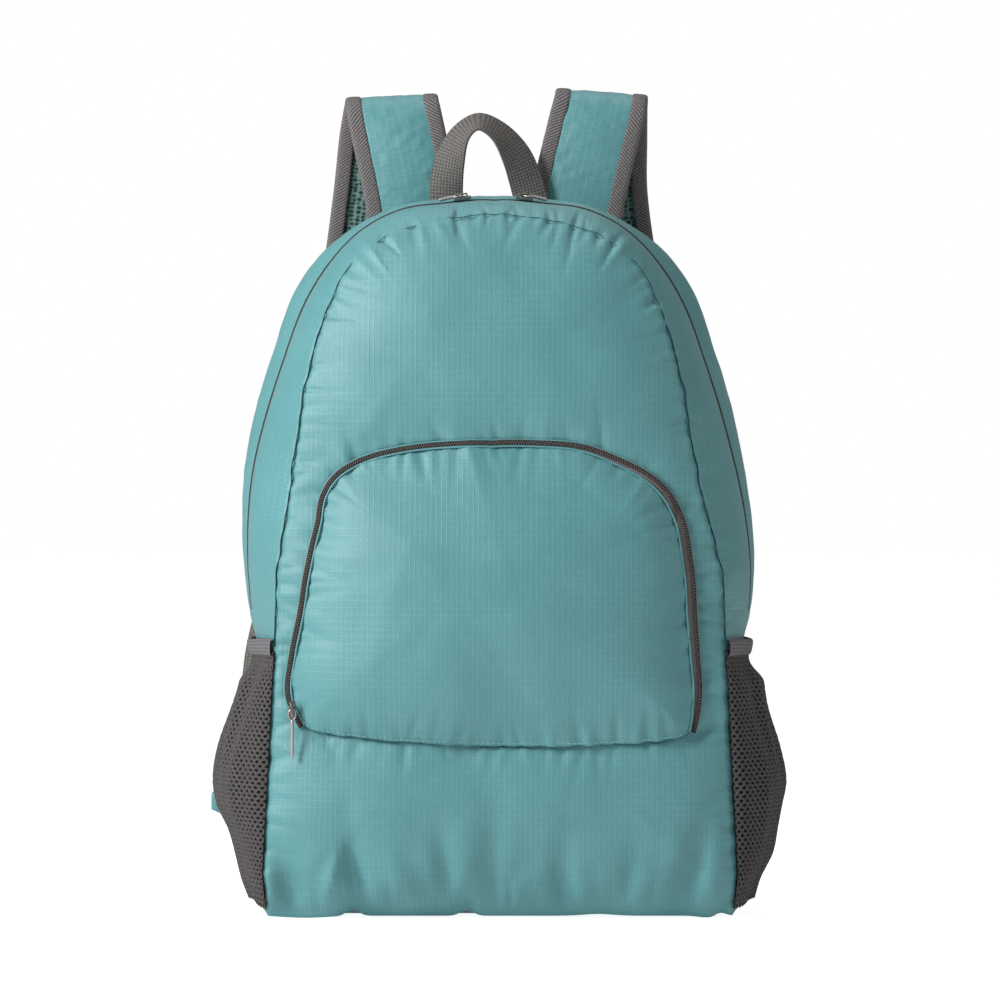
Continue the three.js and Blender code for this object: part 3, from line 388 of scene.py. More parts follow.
def mix(add, share, first, second):
    """A colour between two others."""
    feeds = {"Factor": share, "A": first, "B": second}
    return add("Mix", feeds, data_type="RGBA").outputs["Result"]


def noise(add, scale, detail, place=None):
    """Uneven grain, on the object or at places on its flat cloth."""
    feeds = {"Scale": scale, "Detail": detail}
    if place is not None:
        feeds["Vector"] = place
    return add("TexNoise", feeds).outputs[0]


def bump(add, height, strength, distance, under=None):
    """Fine relief, on its own or over another one."""
    feeds = {"Height": height, "Strength": strength, "Distance": distance}
    if under is not None:
        feeds["Normal"] = under
    return add("Bump", feeds).outputs[0]


def tone(red, green, blue):
    """A colour from the 0 to 255 of a dyer's card."""
    parts = [value / 255 for value in (red, green, blue)]
    return (*[p / 12.92 if p < 0.04045 else ((p + 0.055) / 1.055) ** 2.4 for p in parts], 1)


def ripstop_cloth(name, pale, mid, deep):
    """Thin coated nylon with a square grid of thicker threads, faint creases and a soft sheen."""
    material, surface, add, join = new_material(name)
    cut = add("UVMap", {}, uv_map="cut").outputs[0]
    wander = add("TexNoise", {"Vector": cut, "Scale": 260.0, "Detail": 2.0}).outputs["Color"]
    swayed = add("VectorMath", {0: wander, 1: (0.5, 0.5, 0.5)}, operation="SUBTRACT").outputs[0]
    small = add("VectorMath", {0: swayed, "Scale": 0.0005}, operation="SCALE").outputs[0]
    place = add("VectorMath", {0: cut, 1: small}, operation="ADD").outputs[0]
    sides = add("SeparateXYZ", {0: place})
    threads = []
    for side, pitch in (("X", 0.0030), ("Y", 0.0041)):
        wave = maths(add, "PINGPONG", sides.outputs[side], pitch / 2)
        feeds = {"Value": wave, "From Min": 0.00055, "From Max": 0.00015}
        threads.append(add("MapRange", feeds, interpolation_type="SMOOTHSTEP").outputs[0])
    ribs = maths(add, "MAXIMUM", threads[0], threads[1])
    patches = noise(add, 22.0, 3.0, cut)
    flecks = noise(add, 900.0, 2.0, cut)
    cloudy = mix(add, patches, deep, pale)
    base = mix(add, 0.55, cloudy, mid)
    fading = {"Value": patches, "From Min": 0.35, "From Max": 0.65, "To Min": 0.05, "To Max": 0.5}
    seen = add("MapRange", fading).outputs[0]
    shown = maths(add, "MULTIPLY", ribs, seen)
    ribbed = mix(add, shown, base, pale)
    speckle = add("MapRange", {"Value": flecks, "To Min": 0.93, "To Max": 1.07}).outputs[0]
    colour = add("VectorMath", {0: ribbed, 1: speckle}, operation="MULTIPLY").outputs[0]
    half_yarn = 0.00022
    yarn_u = maths(add, "PINGPONG", sides.outputs["X"], half_yarn)
    yarn_v = maths(add, "PINGPONG", sides.outputs["Y"], half_yarn)
    weave = maths(add, "ADD", yarn_u, yarn_v)
    creases = add(
        "TexNoise", {"Vector": cut, "Scale": 120.0, "Detail": 3.0, "Distortion": 0.6}
    ).outputs[0]
    low = bump(add, weave, 0.25, 0.6)
    ridged = bump(add, ribs, 0.5, 0.00012, low)
    creased = bump(add, creases, 0.2, 0.0009, ridged)
    join(surface, {"Base Color": colour, "Normal": creased})
    surface.inputs["Roughness"].default_value = 0.47
    surface.inputs["Specular IOR Level"].default_value = 0.75
    surface.inputs["Sheen Weight"].default_value = 0.12
    surface.inputs["Sheen Roughness"].default_value = 0.4
    return material


teal_cloth = ripstop_cloth(
    "teal_ripstop", tone(114, 179, 183), tone(93, 158, 162), tone(78, 143, 147)
)

# Dents and folds of the front: place, size, turn in degrees and depth as a share of the crown
front_folds = (
    (-0.405, 0.030, 0.055, 0.034, 12, 0.75),
    (-0.330, 0.045, 0.060, 0.012, -22, -0.35),
    (-0.278, 0.050, 0.065, 0.020, 4, 0.55),
    (-0.200, 0.060, 0.050, 0.030, 0, -0.2),
    (-0.100, 0.055, 0.060, 0.020, 6, 0.3),
    (-0.015, 0.060, 0.070, 0.030, 0, 0.5),
    (0.119, 0.050, 0.060, 0.026, -4, 0.45),
    (0.250, 0.045, 0.050, 0.024, -8, 0.35),
    (0.366, 0.060, 0.070, 0.026, -14, 0.5),
    (0.240, 0.850, 0.050, 0.075, 20, 0.38),
    (0.100, 0.800, 0.120, 0.050, 30, 0.2),
    (-0.160, 0.780, 0.170, 0.080, -20, -0.2),
    (0.379, 0.580, 0.012, 0.050, 30, 0.25),
    (0.398, 0.265, 0.012, 0.050, 35, 0.3),
    (-0.400, 0.330, 0.050, 0.015, 10, 0.2),
)
front_seam_loop = panel_loop("seam", 0.003)


def pillow(away, reach):
    return np.sin(np.pi / 2 * np.minimum(away / reach, 1))


def chance_folds(x, z, low, high, count, long, wide, depth, seed):
    """How deep soft folds lie that fall as they will between two corners of a cloth."""
    chance = np.random.default_rng(seed)
    sunk = np.zeros(np.shape(x))
    for _ in range(count):
        fold_x, fold_z = chance.uniform(low, high)
        turn = chance.uniform(0, math.pi)
        length, width = long * chance.uniform(0.6, 1.6), wide * chance.uniform(0.5, 1.6)
        deep = depth * chance.uniform(0.3, 1.0) * chance.choice((-1, 1))
        up = ((z - fold_z) * math.cos(turn) + (x - fold_x) * math.sin(turn)) / length
        across = ((x - fold_x) * math.cos(turn) - (z - fold_z) * math.sin(turn)) / width
        sunk += deep * np.exp(-up * up - np.abs(across) ** 1.5)
    return sunk


def front_face(x, z):
    """How far forward the front of the bag stands at a place."""
    away = beside(front_seam_loop, np.column_stack([x, z]))[0]
    folded = chance_folds(
        x, z, (-0.13, 0.01), (0.13, 0.40), count=26, long=0.034, wide=0.012, depth=0.0012, seed=7
    )
    folded = folded + chance_folds(
        x, z, (-0.12, 0.02), (0.12, 0.38), count=18, long=0.062, wide=0.024, depth=0.0034, seed=17
    )
    for fold_x, fold_z, long, wide, turn, depth in front_folds:
        dx, dz = x - fold_x * 2 * half_width, z - fold_z * bag_height
        turn = math.radians(turn)
        up = (dz * math.cos(turn) - dx * math.sin(turn)) / (long * bag_height)
        across = (dx * math.cos(turn) + dz * math.sin(turn)) / (wide * 2 * half_width)
        folded = folded + depth * front_crown * np.exp(-up * up - across * across)
    crown = front_crown * (0.4 * pillow(away, crown_reach / 2) + 0.65 * pillow(away, 0.125))
    return -front_reach(z) - crown + folded * pillow(away, crown_reach / 4)


def on_front(line, stand):
    """A line in x and z laid on the front of the bag, as far off as it stands."""
    return np.column_stack([line[:, 0], front_face(line[:, 0], line[:, 1]) - stand, line[:, 1]])


# The foot of the cloth is rolled under the bag, most at the front, and hangs unevenly
roll_top, roll_under = 0.026, 0.011
foot_notches = (
    (-0.087, 0.0050, 0.0038), (-0.0196, 0.0050, 0.0038), (-0.115, 0.017, -0.0012),
    (0.058, 0.012, 0.0010), (0.122, 0.007, -0.0010), (0.131, 0.004, 0.0026),
)


def foot_level(x):
    level = 0.0014 + 0 * np.asarray(x, float)
    for place, wide, rise in foot_notches:
        level = level + rise * np.exp(-(((x - place) / wide) ** 2))
    return level


def rolled(points):
    """The same points with the foot of the cloth turned under."""
    points = np.array(points, float)
    x, y, z = points.T
    share = 1 - eased((y + front_reach(z)) / 0.030)
    up = np.clip((z - lip) / (roll_top - lip), 0, 1)
    dropped = (foot_level(x) - lip) * (1 - up) ** 1.5
    under = roll_under * (1 - up) ** 2.4
    narrowed = x * (1 - 0.02 * share * (1 - up))
    return np.column_stack([narrowed, y + share * under, z + share * dropped])


# The front pocket's cutting line is needed here, because the panel is held down along it
pocket_middle_x, pocket_middle_z = -0.004, 0.190
pocket_half_width, pocket_rise, pocket_drop = 0.118, 0.0845, 0.090
pocket_rays = (-43, -34, -23, -11, 0, 14, 28, 38, 46, 55, 66, 78, 90)
pocket_left = smooth_curve(
    pocket_rays,
    (1.275, 1.205, 1.065, 0.962, 0.922, 0.92, 0.967, 1.05, 1.093, 1.092, 1.055, 1.018, 1.0),
)
pocket_right = smooth_curve(
    pocket_rays,
    (1.33, 1.21, 1.08, 1.0, 0.975, 0.985, 1.04, 1.078, 1.088, 1.077, 1.068, 1.025, 1.0),
)


zip_flare = smooth_curve((0, 0.55, 0.68, 0.76, 0.9, 0.97, 1), (1, 1, 1.7, 2.0, 1.9, 1.5, 1))


def pocket_arch(spacing, inwards=0.0):
    """The line of the pocket's zip in x and z, from its left end over the top to its right.
    Inwards lies beside it, further off where the tape flares out of its fold."""
    along = np.linspace(0, 1, 801)
    ray = pocket_rays[0] + (90 - pocket_rays[0]) * (1 - np.abs(2 * along - 1))
    left = along < 0.5
    reach = np.where(left, pocket_left(ray), pocket_right(ray))
    angle = np.radians(ray)
    tall = np.where(ray < 0, pocket_drop, pocket_rise)
    x = pocket_middle_x + np.where(left, -1, 1) * pocket_half_width * reach * np.cos(angle)
    line = np.column_stack([x, pocket_middle_z + tall * reach * np.sin(angle)])
    ahead = heading(line)
    offset = inwards * np.where(inwards > 0, zip_flare(along), 1)[:, None]
    inner = line + offset * np.column_stack([ahead[:, 1], -ahead[:, 0]])
    return even_steps(inner, spacing)


def pocket_foot(start, end, spacing):
    """The stitched line along the pocket's foot, from right to left, a little slack."""
    share = np.linspace(0, 1, 200)[:, None]
    line = start + (end - start) * share
    line[:, 1:] -= 0.0100 * np.sin(np.pi * np.clip(share, 0, 1)) ** 0.42
    return even_steps(line, spacing)


zip_line = pocket_arch(0.003)
foot_line = pocket_foot(zip_line[-1], zip_line[0], 0.003)
pocket_loop = np.vstack([zip_line[:-1], foot_line[:-1]])

flat, faces = cut_cloth(front_seam_loop, 0.0032)
rim_away, _ = beside(front_seam_loop, flat)
sewn_away, _ = beside(pocket_loop, flat)
under_pocket = inside(pocket_loop, flat)
sunk = np.where(under_pocket, 0.007 * np.clip(sewn_away / 0.008, 0, 1), 0)
points = on_front(flat, -sunk)
front_panel = sewn_piece("front_cloth", points, faces, flat, teal_cloth)
held = (rim_away < 0.0004) | (sewn_away < 0.0032) | (under_pocket & (sewn_away > 0.010))
settle(front_panel, held, fullness=0.04, push=3.5, most=0.012, steps=20, ironed=7)
mesh = finer(front_panel)
points, normals = points_of(mesh), normals_of(mesh)
away, along = beside(front_seam_loop, points[:, [0, 2]])
seam_length = length_round(front_seam_loop)
puckers = seam_puckers(
    points, away, along, reach=0.012, depth=0.0015, growth=0.5, groove=0.0016
)
low_away = np.maximum(points[:, 2] - lip, 0) + 0.2 * (points[:, 2] > 0.08)
puckers += gathers(
    low_away, points[:, 0] + 0.2, length=0.4, pitch=0.020, reach=0.020, depth=0.0026, seed=8
)
puckers *= np.clip(low_away / 0.008, 0, 1)
sewn_away, sewn_along = beside(pocket_loop, points[:, [0, 2]])
pocket_length = length_round(pocket_loop)
outside = ~inside(pocket_loop, points[:, [0, 2]])
puckers += outside * gathers(
    sewn_away, sewn_along, pocket_length, pitch=0.009, reach=0.012, depth=0.0014, seed=5
)
move_points(mesh, rolled(points - normals * puckers[:, None]))
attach(front_panel, "bag")
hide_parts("front_panel")


# Gusset. A long strip of the same cloth that goes once over the bag from lip to lip, cut along
# its middle for the main zip. Its front edge is sewn to the front panel and its back edge to
# the back panel, and both strips are full enough to ripple.
def over_gusset(along, depth):
    """A place on the gusset: along goes over the bag, depth from the front seam to the back."""
    along, depth = np.broadcast_arrays(np.asarray(along, float), np.asarray(depth, float))
    run = 1 - np.abs(2 * along - 1)
    lines = [half_rim(name, run) for name in ("seam", "zip", "side", "back")]
    xs, zs = np.array([line[0] for line in lines]), np.array([line[1] for line in lines])
    front_y, back_y = -front_reach(zs[0]), back_reach(zs[3])
    zip_depth = (zip_place - front_y) / (back_y - front_y)
    knots = np.array([0 * zip_depth, zip_depth, zip_depth + (1 - zip_depth) * widest_share,
                      0 * zip_depth + 1])

    def through(values):
        slopes = np.empty_like(values)
        slopes[0] = (values[1] - values[0]) / (knots[1] - knots[0])
        slopes[3] = (values[3] - values[2]) / (knots[3] - knots[2])
        for k in (1, 2):
            slopes[k] = (values[k + 1] - values[k - 1]) / (knots[k + 1] - knots[k - 1])
        low = ((depth >= knots[1]).astype(int) + (depth >= knots[2]).astype(int))[None]
        here = [np.take_along_axis(rows, low, 0)[0] for rows in (knots, values, slopes)]
        then = [np.take_along_axis(rows, low + 1, 0)[0] for rows in (knots, values, slopes)]
        span = then[0] - here[0]
        share = np.clip((depth - here[0]) / span, 0, 1)
        return hermite(share, span, here[1], here[2], then[1], then[2])

    z = through(zs)
    x = np.sign(along - 0.5 + 1e-9) * through(xs) + lean(z)
    return np.stack([x, front_y + (back_y - front_y) * depth, z], axis=-1)


def zip_depth_at(along):
    run = 1 - np.abs(2 * np.asarray(along, float) - 1)
    front_y, back_y = -front_reach(half_rim("seam", run)[1]), back_reach(half_rim("back", run)[1])
    return (zip_place - front_y) / (back_y - front_y), back_y - front_y


def outwards_of(grid):
    """The outward direction at each point of a grid that lies on the bag."""
    normal = unit(np.cross(np.gradient(grid, axis=1), np.gradient(grid, axis=0)))
    out = grid - np.array([0, 0, spring_height / 2])
    out[..., 1] = 0
    turned = (normal * out).sum(-1) < 0
    normal[turned] *= -1
    return normal


def grid_faces(rows, columns):
    corner = np.arange(rows * columns).reshape(rows, columns)
    quads = np.stack([corner[:-1, :-1], corner[:-1, 1:], corner[1:, 1:], corner[1:, :-1]], -1)
    return [tuple(quad) for quad in quads.reshape(-1, 4).tolist()]


def flat_places(grid):
    """Each grid point's place on the flat cloth: run along the rows and up the columns."""
    ahead = np.linalg.norm(np.diff(grid, axis=1), axis=-1)
    up = np.linalg.norm(np.diff(grid, axis=0), axis=-1)
    run = np.concatenate([[0], np.cumsum(ahead[len(grid) // 2])])
    rise = np.concatenate([[0], np.cumsum(up[:, up.shape[1] // 2])])
    return np.array(np.meshgrid(run, rise)).transpose(1, 2, 0).reshape(-1, 2)


def sewn_grid(name, grid, material):
    """A piece whose points lie in rows and columns."""
    corners, cut = grid_faces(*grid.shape[:2]), flat_places(grid)
    return sewn_piece(name, grid.reshape(-1, 3), corners, cut, material)


def low_run(height):
    """How far over the gusset a height on the left flank lies."""
    return flank_share * (height - lip) / (spring_height - lip) / 2


zip_end_height = 0.178
zip_start = low_run(zip_end_height)


def gusset_cloth(name, ends, front, back, columns, rows, puff, full, node, seed):
    """One strip of the gusset between two lines of depth, held at its edges and rippled."""
    along = np.linspace(*ends, columns)
    shares = np.linspace(0, 1, rows)[:, None]
    depth = front(along) + (back(along) - front(along)) * shares
    grid = over_gusset(np.broadcast_to(along, depth.shape), depth)
    out = outwards_of(grid)
    flat_end = np.clip(np.minimum(along - min(ends), max(ends) - along) / 0.03, 0, 1) ** 0.5
    grid = grid + out * (puff * flat_end * np.sin(np.pi * shares) ** 0.8)[..., None]
    piece = sewn_grid(name, grid, teal_cloth)
    held = np.zeros((rows, columns), bool)
    held[[0, -1]] = True
    held[:, [0, -1]] = True
    if (normals_of(piece.data) * out.reshape(-1, 3)).sum() < 0:
        piece.data.flip_normals()
    flat_start = points_of(piece.data)
    settle(piece, held.ravel(), full, push=2.0, most=0.005, ironed=3, seed=seed)
    rippled = np.tile(flat_end**3, rows)[:, None]
    move_points(piece.data, flat_start + (points_of(piece.data) - flat_start) * rippled)
    mesh = finer(piece)
    points, normals = points_of(mesh), normals_of(mesh)
    away, along = beside(front_seam_loop, points[:, [0, 2]])
    away = np.hypot(away, points[:, 1] + front_reach(points[:, 2]))
    puckers = seam_puckers(
        points, away, along, reach=0.010, depth=0.0012, growth=0.4, groove=0.0015
    )
    behind = back_reach(points[:, 2]) - points[:, 1]
    puckers += 0.0018 * np.exp(-((behind / 0.0013) ** 2))
    move_points(mesh, rolled(points - normals * puckers[:, None]))
    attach(piece, "bag")
    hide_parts(node)
    return piece


def zip_edge(side):
    """The depth at which a strip's turned edge lies beside the coil."""
    def at(along):
        depth, span = zip_depth_at(along)
        slack = 0.0009 * np.exp(-(((along - 0.5) / 0.09) ** 2))
        return depth + side * (0.0013 + slack) / span
    return at


def at_front(along):
    return 0 * along


def at_back(along):
    return 0 * along + 1


top_ends = (zip_start, 1 - zip_start)
left_ends, right_ends = (0, zip_start), (1, 1 - zip_start)
gusset_cloth(
    "front_strip", top_ends, at_front, zip_edge(-1), columns=290, rows=18, puff=0.002, full=0.03,
    node="front_band", seed=11
)
gusset_cloth(
    "rear_strip", top_ends, zip_edge(1), at_back, columns=290, rows=20, puff=0.001, full=0.025,
    node="rear_band", seed=12
)
for name, ends, node, seed in (
    ("left_side", left_ends, "side_left", 13), ("right_side", right_ends, "side_right", 14)
):
    gusset_cloth(
        name, ends, at_front, at_back, columns=58, rows=36, puff=0.0006, full=0.01,
        node=node, seed=seed
    )


# Seams. Every panel is joined with a plain seam turned to the inside, so from outside it is a
# narrow groove, drawn darker by a thin dark teal tube along it: painted shadow of the groove.
def cloth_colour(name, dark, light, grain, roughness=0.8):
    """Plain thread or tape with a fine uneven tone, also used for dark strips of painted shade."""
    material, surface, add, join = new_material(name)
    spots = noise(add, grain, 3.0)
    colour = mix(add, spots, dark, light)
    raised = bump(add, spots, 0.5, 0.0002)
    join(surface, {"Base Color": colour, "Normal": raised})
    surface.inputs["Roughness"].default_value = roughness
    return material


# The seam lines' dark teal: painted shadow of the seams' grooves.
seam_shadow_line = cloth_colour("seam_painted_shadow", tone(16, 52, 56), tone(30, 78, 82), 900.0)


def thin_tube(name, line, radius, material, sides=6, up=None):
    """A thread or cord along a line. Up is a direction that the line never takes."""
    ahead = heading(line)
    guide = np.where(np.abs(ahead[:, 1:2]) < 0.9, [[0.0, 1.0, 0.0]], [[1.0, 0.0, 0.0]])
    across = unit(np.cross(ahead, guide if up is None else up))
    over = np.cross(ahead, across)
    turn = np.linspace(0, 2 * np.pi, sides + 1)
    ring = across[:, None] * np.cos(turn)[:, None] + over[:, None] * np.sin(turn)[:, None]
    grid = line[:, None] + ring * np.broadcast_to(radius, len(line))[:, None, None]
    return sewn_grid(name, grid, material)


def seam_over(depth, spacing):
    """The line of a seam that goes once over the gusset."""
    along = np.linspace(0, 1, 1401)
    return even_steps(over_gusset(along, 0 * along + depth), spacing)


for name, depth in (("front_seam", 0), ("back_seam", 1)):
    line = seam_over(depth, 0.002)
    line[:, 1] += 0.0009 * (1 if depth == 0 else -1)
    line = line[line[:, 2] > (0.158 if depth == 0 else 0)]
    thick = 0.0004 - 0.0002 * near_top(line)
    seam_shadow = thin_tube(name, rolled(line), thick, seam_shadow_line)
    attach(seam_shadow, "bag")

# Base panel. A flat piece of the same cloth whose edge turns up into the foot of the walls, where
# a plain seam holds it.
base_turn = 0.008
base_depths = np.linspace(1, 0, 28)
left_edge, right_edge = over_gusset(0, base_depths), over_gusset(1, base_depths[::-1])
front_edge = np.linspace(left_edge[-1], right_edge[0], 200)[1:-1]
back_edge = np.linspace(right_edge[-1], left_edge[0], 70)[1:-1]
base_rim = rolled(np.vstack([left_edge, front_edge, right_edge, back_edge]))
base_loop = base_rim[:, :2]
flat, faces = cut_cloth(base_loop, 0.004)
away, along = beside(base_loop, flat)
rim_places = np.r_[0, np.cumsum(np.linalg.norm(np.roll(base_loop, -1, 0) - base_loop, axis=1))]
rim_level = np.interp(along, rim_places, np.r_[base_rim[:, 2], base_rim[0, 2]])
ahead_of = np.clip((flat[:, 1] + 0.015) / 0.030, 0, 1)
front_turn = 0.042 + (base_turn - 0.042) * ahead_of
turned = smooth_curve((0, 0.08, 0.38, 1, 1.4), (1, 0.5, 0.12, 0, 0))(away / front_turn)
turned = turned * ahead_of + (1 - ahead_of) * np.clip(1 - away / front_turn, 0, 1) ** 1.2
points = np.column_stack([flat, rim_level * turned])
base_panel = sewn_piece("base_cloth", points, faces, flat, teal_cloth)
base_panel.data.flip_normals()
finer(base_panel)
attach(base_panel, "bag")
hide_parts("base_panel")

# Back panel. The same arch a little wider, of the same cloth, and plain: it only carries the
# straps and the haul loop in its top seam.
back_loop = panel_loop("back", 0.003)
flat, faces = cut_cloth(back_loop, 0.0036)
away, _ = beside(back_loop, flat)
back_crown = 0.007
crown = back_crown * pillow(away, crown_reach)
points = np.column_stack([flat[:, 0], back_reach(flat[:, 1]) + crown, flat[:, 1]])
back_panel = sewn_piece("back_cloth", points, [face[::-1] for face in faces], flat, teal_cloth)
settle(back_panel, away < 0.0004, fullness=0.02, push=1.0, most=0.006, seed=21)
mesh = finer(back_panel)
points, normals = points_of(mesh), normals_of(mesh)
away, along = beside(back_loop, points[:, [0, 2]])
puckers = gathers(away, along, seam_length, pitch=0.010, reach=0.012, depth=0.0009, seed=22)
puckers += 0.0022 * np.exp(-((away / 0.0016) ** 2))
move_points(mesh, points - normals * puckers[:, None])
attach(back_panel, "bag")
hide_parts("back_panel")


# Main zip. A nylon coil on tape coloured near black, set between the turned edges of the two
# strips, so that only the coil and a sliver of tape show in the slot. The tape's near black is
# painted shade of the deep slot.
tape_cloth = cloth_colour("zip_tape_weave", tone(104, 100, 100), tone(164, 159, 159), 700.0)
coil_nylon = cloth_colour("coil_nylon", tone(88, 82, 80), tone(136, 128, 125), 500.0, 0.4)
# Near black, painted shade: the main zip's tape and a strip round the pocket's coil.
slot_shade = cloth_colour("zip_slot_painted_shade", tone(20, 19, 19), tone(34, 32, 32), 700.0)


def bead(rings=4, sides=6):
    """A small rounded bead of radius one, long along its first axis."""
    points, corners = [(-1, 0, 0)], []
    for ring in range(1, rings):
        angle = math.pi * ring / rings
        for side in range(sides):
            turn = 2 * math.pi * side / sides
            radius = math.sin(angle)
            points.append((-math.cos(angle), radius * math.cos(turn), radius * math.sin(turn)))
    points.append((1, 0, 0))
    last = len(points) - 1
    for side in range(sides):
        after = (side + 1) % sides
        corners.append((0, 1 + after, 1 + side))
        for ring in range(rings - 2):
            low, high = 1 + ring * sides, 1 + (ring + 1) * sides
            corners.append((low + side, low + after, high + after, high + side))
        top = 1 + (rings - 2) * sides
        corners.append((top + side, top + after, last))
    return np.array(points, float), corners


def many(name, shape, middles, long, wide, high, material):
    """Many copies of a small shape as one piece. Long, wide and high are each copy's axes."""
    points, corners = shape
    axes = np.stack([long, wide, high], axis=1)
    placed = middles[:, None] + np.einsum("pk,nkc->npc", points, axes)
    shift = len(points)
    faces = [tuple(c + k * shift for c in corner) for k in range(len(middles)) for corner in corners]
    cut = placed[..., [0, 2]].reshape(-1, 2)
    return sewn_piece(name, placed.reshape(-1, 3), faces, cut, material)


def zip_coil(name, line, out, half, pitch, thick):
    """Two rows of coil loops that lock in the middle."""
    steps = way_along(line)
    places = np.arange(pitch, steps[-1] - pitch, pitch / 2)
    at = np.column_stack([np.interp(places, steps, line[:, k]) for k in range(3)])
    up = np.column_stack([np.interp(places, steps, out[:, k]) for k in range(3)])
    ahead = heading(at)
    across = unit(np.cross(ahead, up))
    way = np.where(np.arange(len(places)) % 2, 1.0, -1.0)[:, None]
    middles = at + across * way * half * 0.42
    return many(
        name, bead(), middles, (across + 0.25 * way * ahead) * half * 0.62,
        ahead * pitch * 0.28, up * thick, coil_nylon
    )


def strip_of(line, across, wide, lift, out, name, material):
    """A flat tape along a line, from one side to the other of it."""
    low, high = (np.broadcast_to(edge, len(line)) for edge in wide)
    places = low + (high - low) * np.linspace(0, 1, 5)[:, None]
    grid = line[None] + across[None] * places[..., None] + out[None] * lift
    return sewn_grid(name, grid, material)


along = np.linspace(*top_ends, 900)
depth, span = zip_depth_at(along)
three = over_gusset(along[None], depth + np.array([[-1], [0], [1]]) * 0.002 / span)
main_out = outwards_of(three)[1]
main_line = three[1]
across = unit(three[2] - three[0])
# Its near-black colour is painted shade of the slot.
main_tape = strip_of(
    main_line, across, (-0.0035, 0.0035), -0.0012, main_out, "main_zip_tape", slot_shade
)
main_coil = zip_coil(
    "main_zip_coil", main_line - main_out * 0.0006, main_out, half=0.0016, pitch=0.0012,
    thick=0.0007
)
for piece in (main_tape, main_coil):
    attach(piece, "bag")
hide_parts("main_zipper")

# Front pocket's wall. A puffed piece of ripstop, hemmed along the arched zip and sewn down along
# its foot with one row of pale stitches.
pocket_puff = 0.013
zip_stand = 0.0022
inner_arch = pocket_arch(0.003, 0.0021)
inner_foot = pocket_foot(inner_arch[-1], inner_arch[0], 0.003)
wall_loop = np.vstack([inner_arch[:-1], inner_foot[:-1]])
flat, faces = cut_cloth(wall_loop, 0.0030)
away, _ = beside(wall_loop, flat)
puffed = pocket_puff * (0.4 * pillow(away, 0.030) + 0.6 * pillow(away, 0.095))
puffed -= pillow(away, 0.02) * chance_folds(
    flat[:, 0], flat[:, 1], (-0.12, 0.10), (0.12, 0.27),
    count=12, long=0.026, wide=0.011, depth=0.0011, seed=32
)
puffed -= pillow(away, 0.03) * chance_folds(
    flat[:, 0], flat[:, 1], (-0.10, 0.12), (0.10, 0.26),
    count=9, long=0.050, wide=0.022, depth=0.0026, seed=35
)
points = on_front(flat, zip_stand + puffed)
pocket_wall = sewn_piece("pocket_wall", points, faces, flat, teal_cloth)
settle(
    pocket_wall, away < 0.0004, fullness=0.035, push=2.5, most=0.008, steps=20, ironed=7, seed=31
)
mesh = finer(pocket_wall)
points, normals = points_of(mesh), normals_of(mesh)
away, along = beside(wall_loop, points[:, [0, 2]])
wall_length = length_round(wall_loop)
puckers = gathers(away, along, wall_length, pitch=0.009, reach=0.012, depth=0.0014, seed=33)
move_points(mesh, points - normals * puckers[:, None])
hem = pocket_wall.modifiers.new("turned hem", "SOLIDIFY")
hem.thickness = 0.0009
hem.offset = -1
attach(pocket_wall, "bag")
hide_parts("pocket_panel")

# Pocket zip. The same coil on a grey tape that arches over the pocket. The tape flares out of
# the fold a little on its right side.
pocket_line = on_front(pocket_arch(0.0012), zip_stand)
pocket_out = np.tile([0.0, -1.0, 0.0], (len(pocket_line), 1))
inwards = unit(np.cross(heading(pocket_line), pocket_out))
if inwards[len(inwards) // 2, 2] > 0:
    inwards = -inwards
tape_wide = 0.0026 * zip_flare(np.linspace(0, 1, len(pocket_line)))
pocket_tape = strip_of(
    pocket_line, inwards, (-0.0019, tape_wide), -0.0006, pocket_out, "pocket_zip_tape", tape_cloth
)
# A near-black strip round the coil, over the tape: painted shade beside the coil.
pocket_gap_shade = strip_of(
    pocket_line, inwards, (-0.0015, 0.0010), -0.0003, pocket_out, "pocket_zip_painted_shade", slot_shade
)
pocket_coil = zip_coil(
    "pocket_zip_coil", pocket_line, pocket_out, half=0.0013, pitch=0.0015, thick=0.0009
)
for piece in (pocket_tape, pocket_gap_shade, pocket_coil):
    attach(piece, "bag")
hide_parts("pocket_zipper")

# The turned hems on both sides of the pocket's zip: narrow rolls of the teal cloth
pocket_hems = (("pocket_hem_outer", -0.0017, 0.0012), ("pocket_hem_inner", 0.0021, 0.0026))
for name, inwards_by, stand in pocket_hems:
    piece = thin_tube(name, on_front(pocket_arch(0.0016, inwards_by), stand), 0.0006, teal_cloth)
    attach(piece, "bag")

# The row of pale stitches along the pocket's foot
pale_thread = cloth_colour("pale_thread", tone(120, 176, 176), tone(176, 214, 212), 1500.0)


def stitch_row(name, line, out, long, gap, thick, material):
    """A row of lockstitches that lie on the cloth along a line."""
    row = even_steps(np.column_stack([line, out]), (long + gap))
    middles, up = row[:, :3], unit(row[:, 3:6])
    ahead = heading(middles)
    across = np.cross(ahead, up)
    return many(
        name, bead(), middles, ahead * long / 2, across * thick, up * thick, material
    )


foot = pocket_foot(inner_arch[-1], inner_arch[0], 0.001) + np.array([0, 0.0016])
foot_3d = on_front(foot, zip_stand + 0.0010)
foot_out = np.tile([0.0, -1.0, 0.0], (len(foot_3d), 1))
foot_stitches = stitch_row(
    "pocket_foot_stitches", foot_3d, foot_out, long=0.0022, gap=0.0009, thick=0.00028,
    material=pale_thread
)
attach(foot_stitches, "bag")


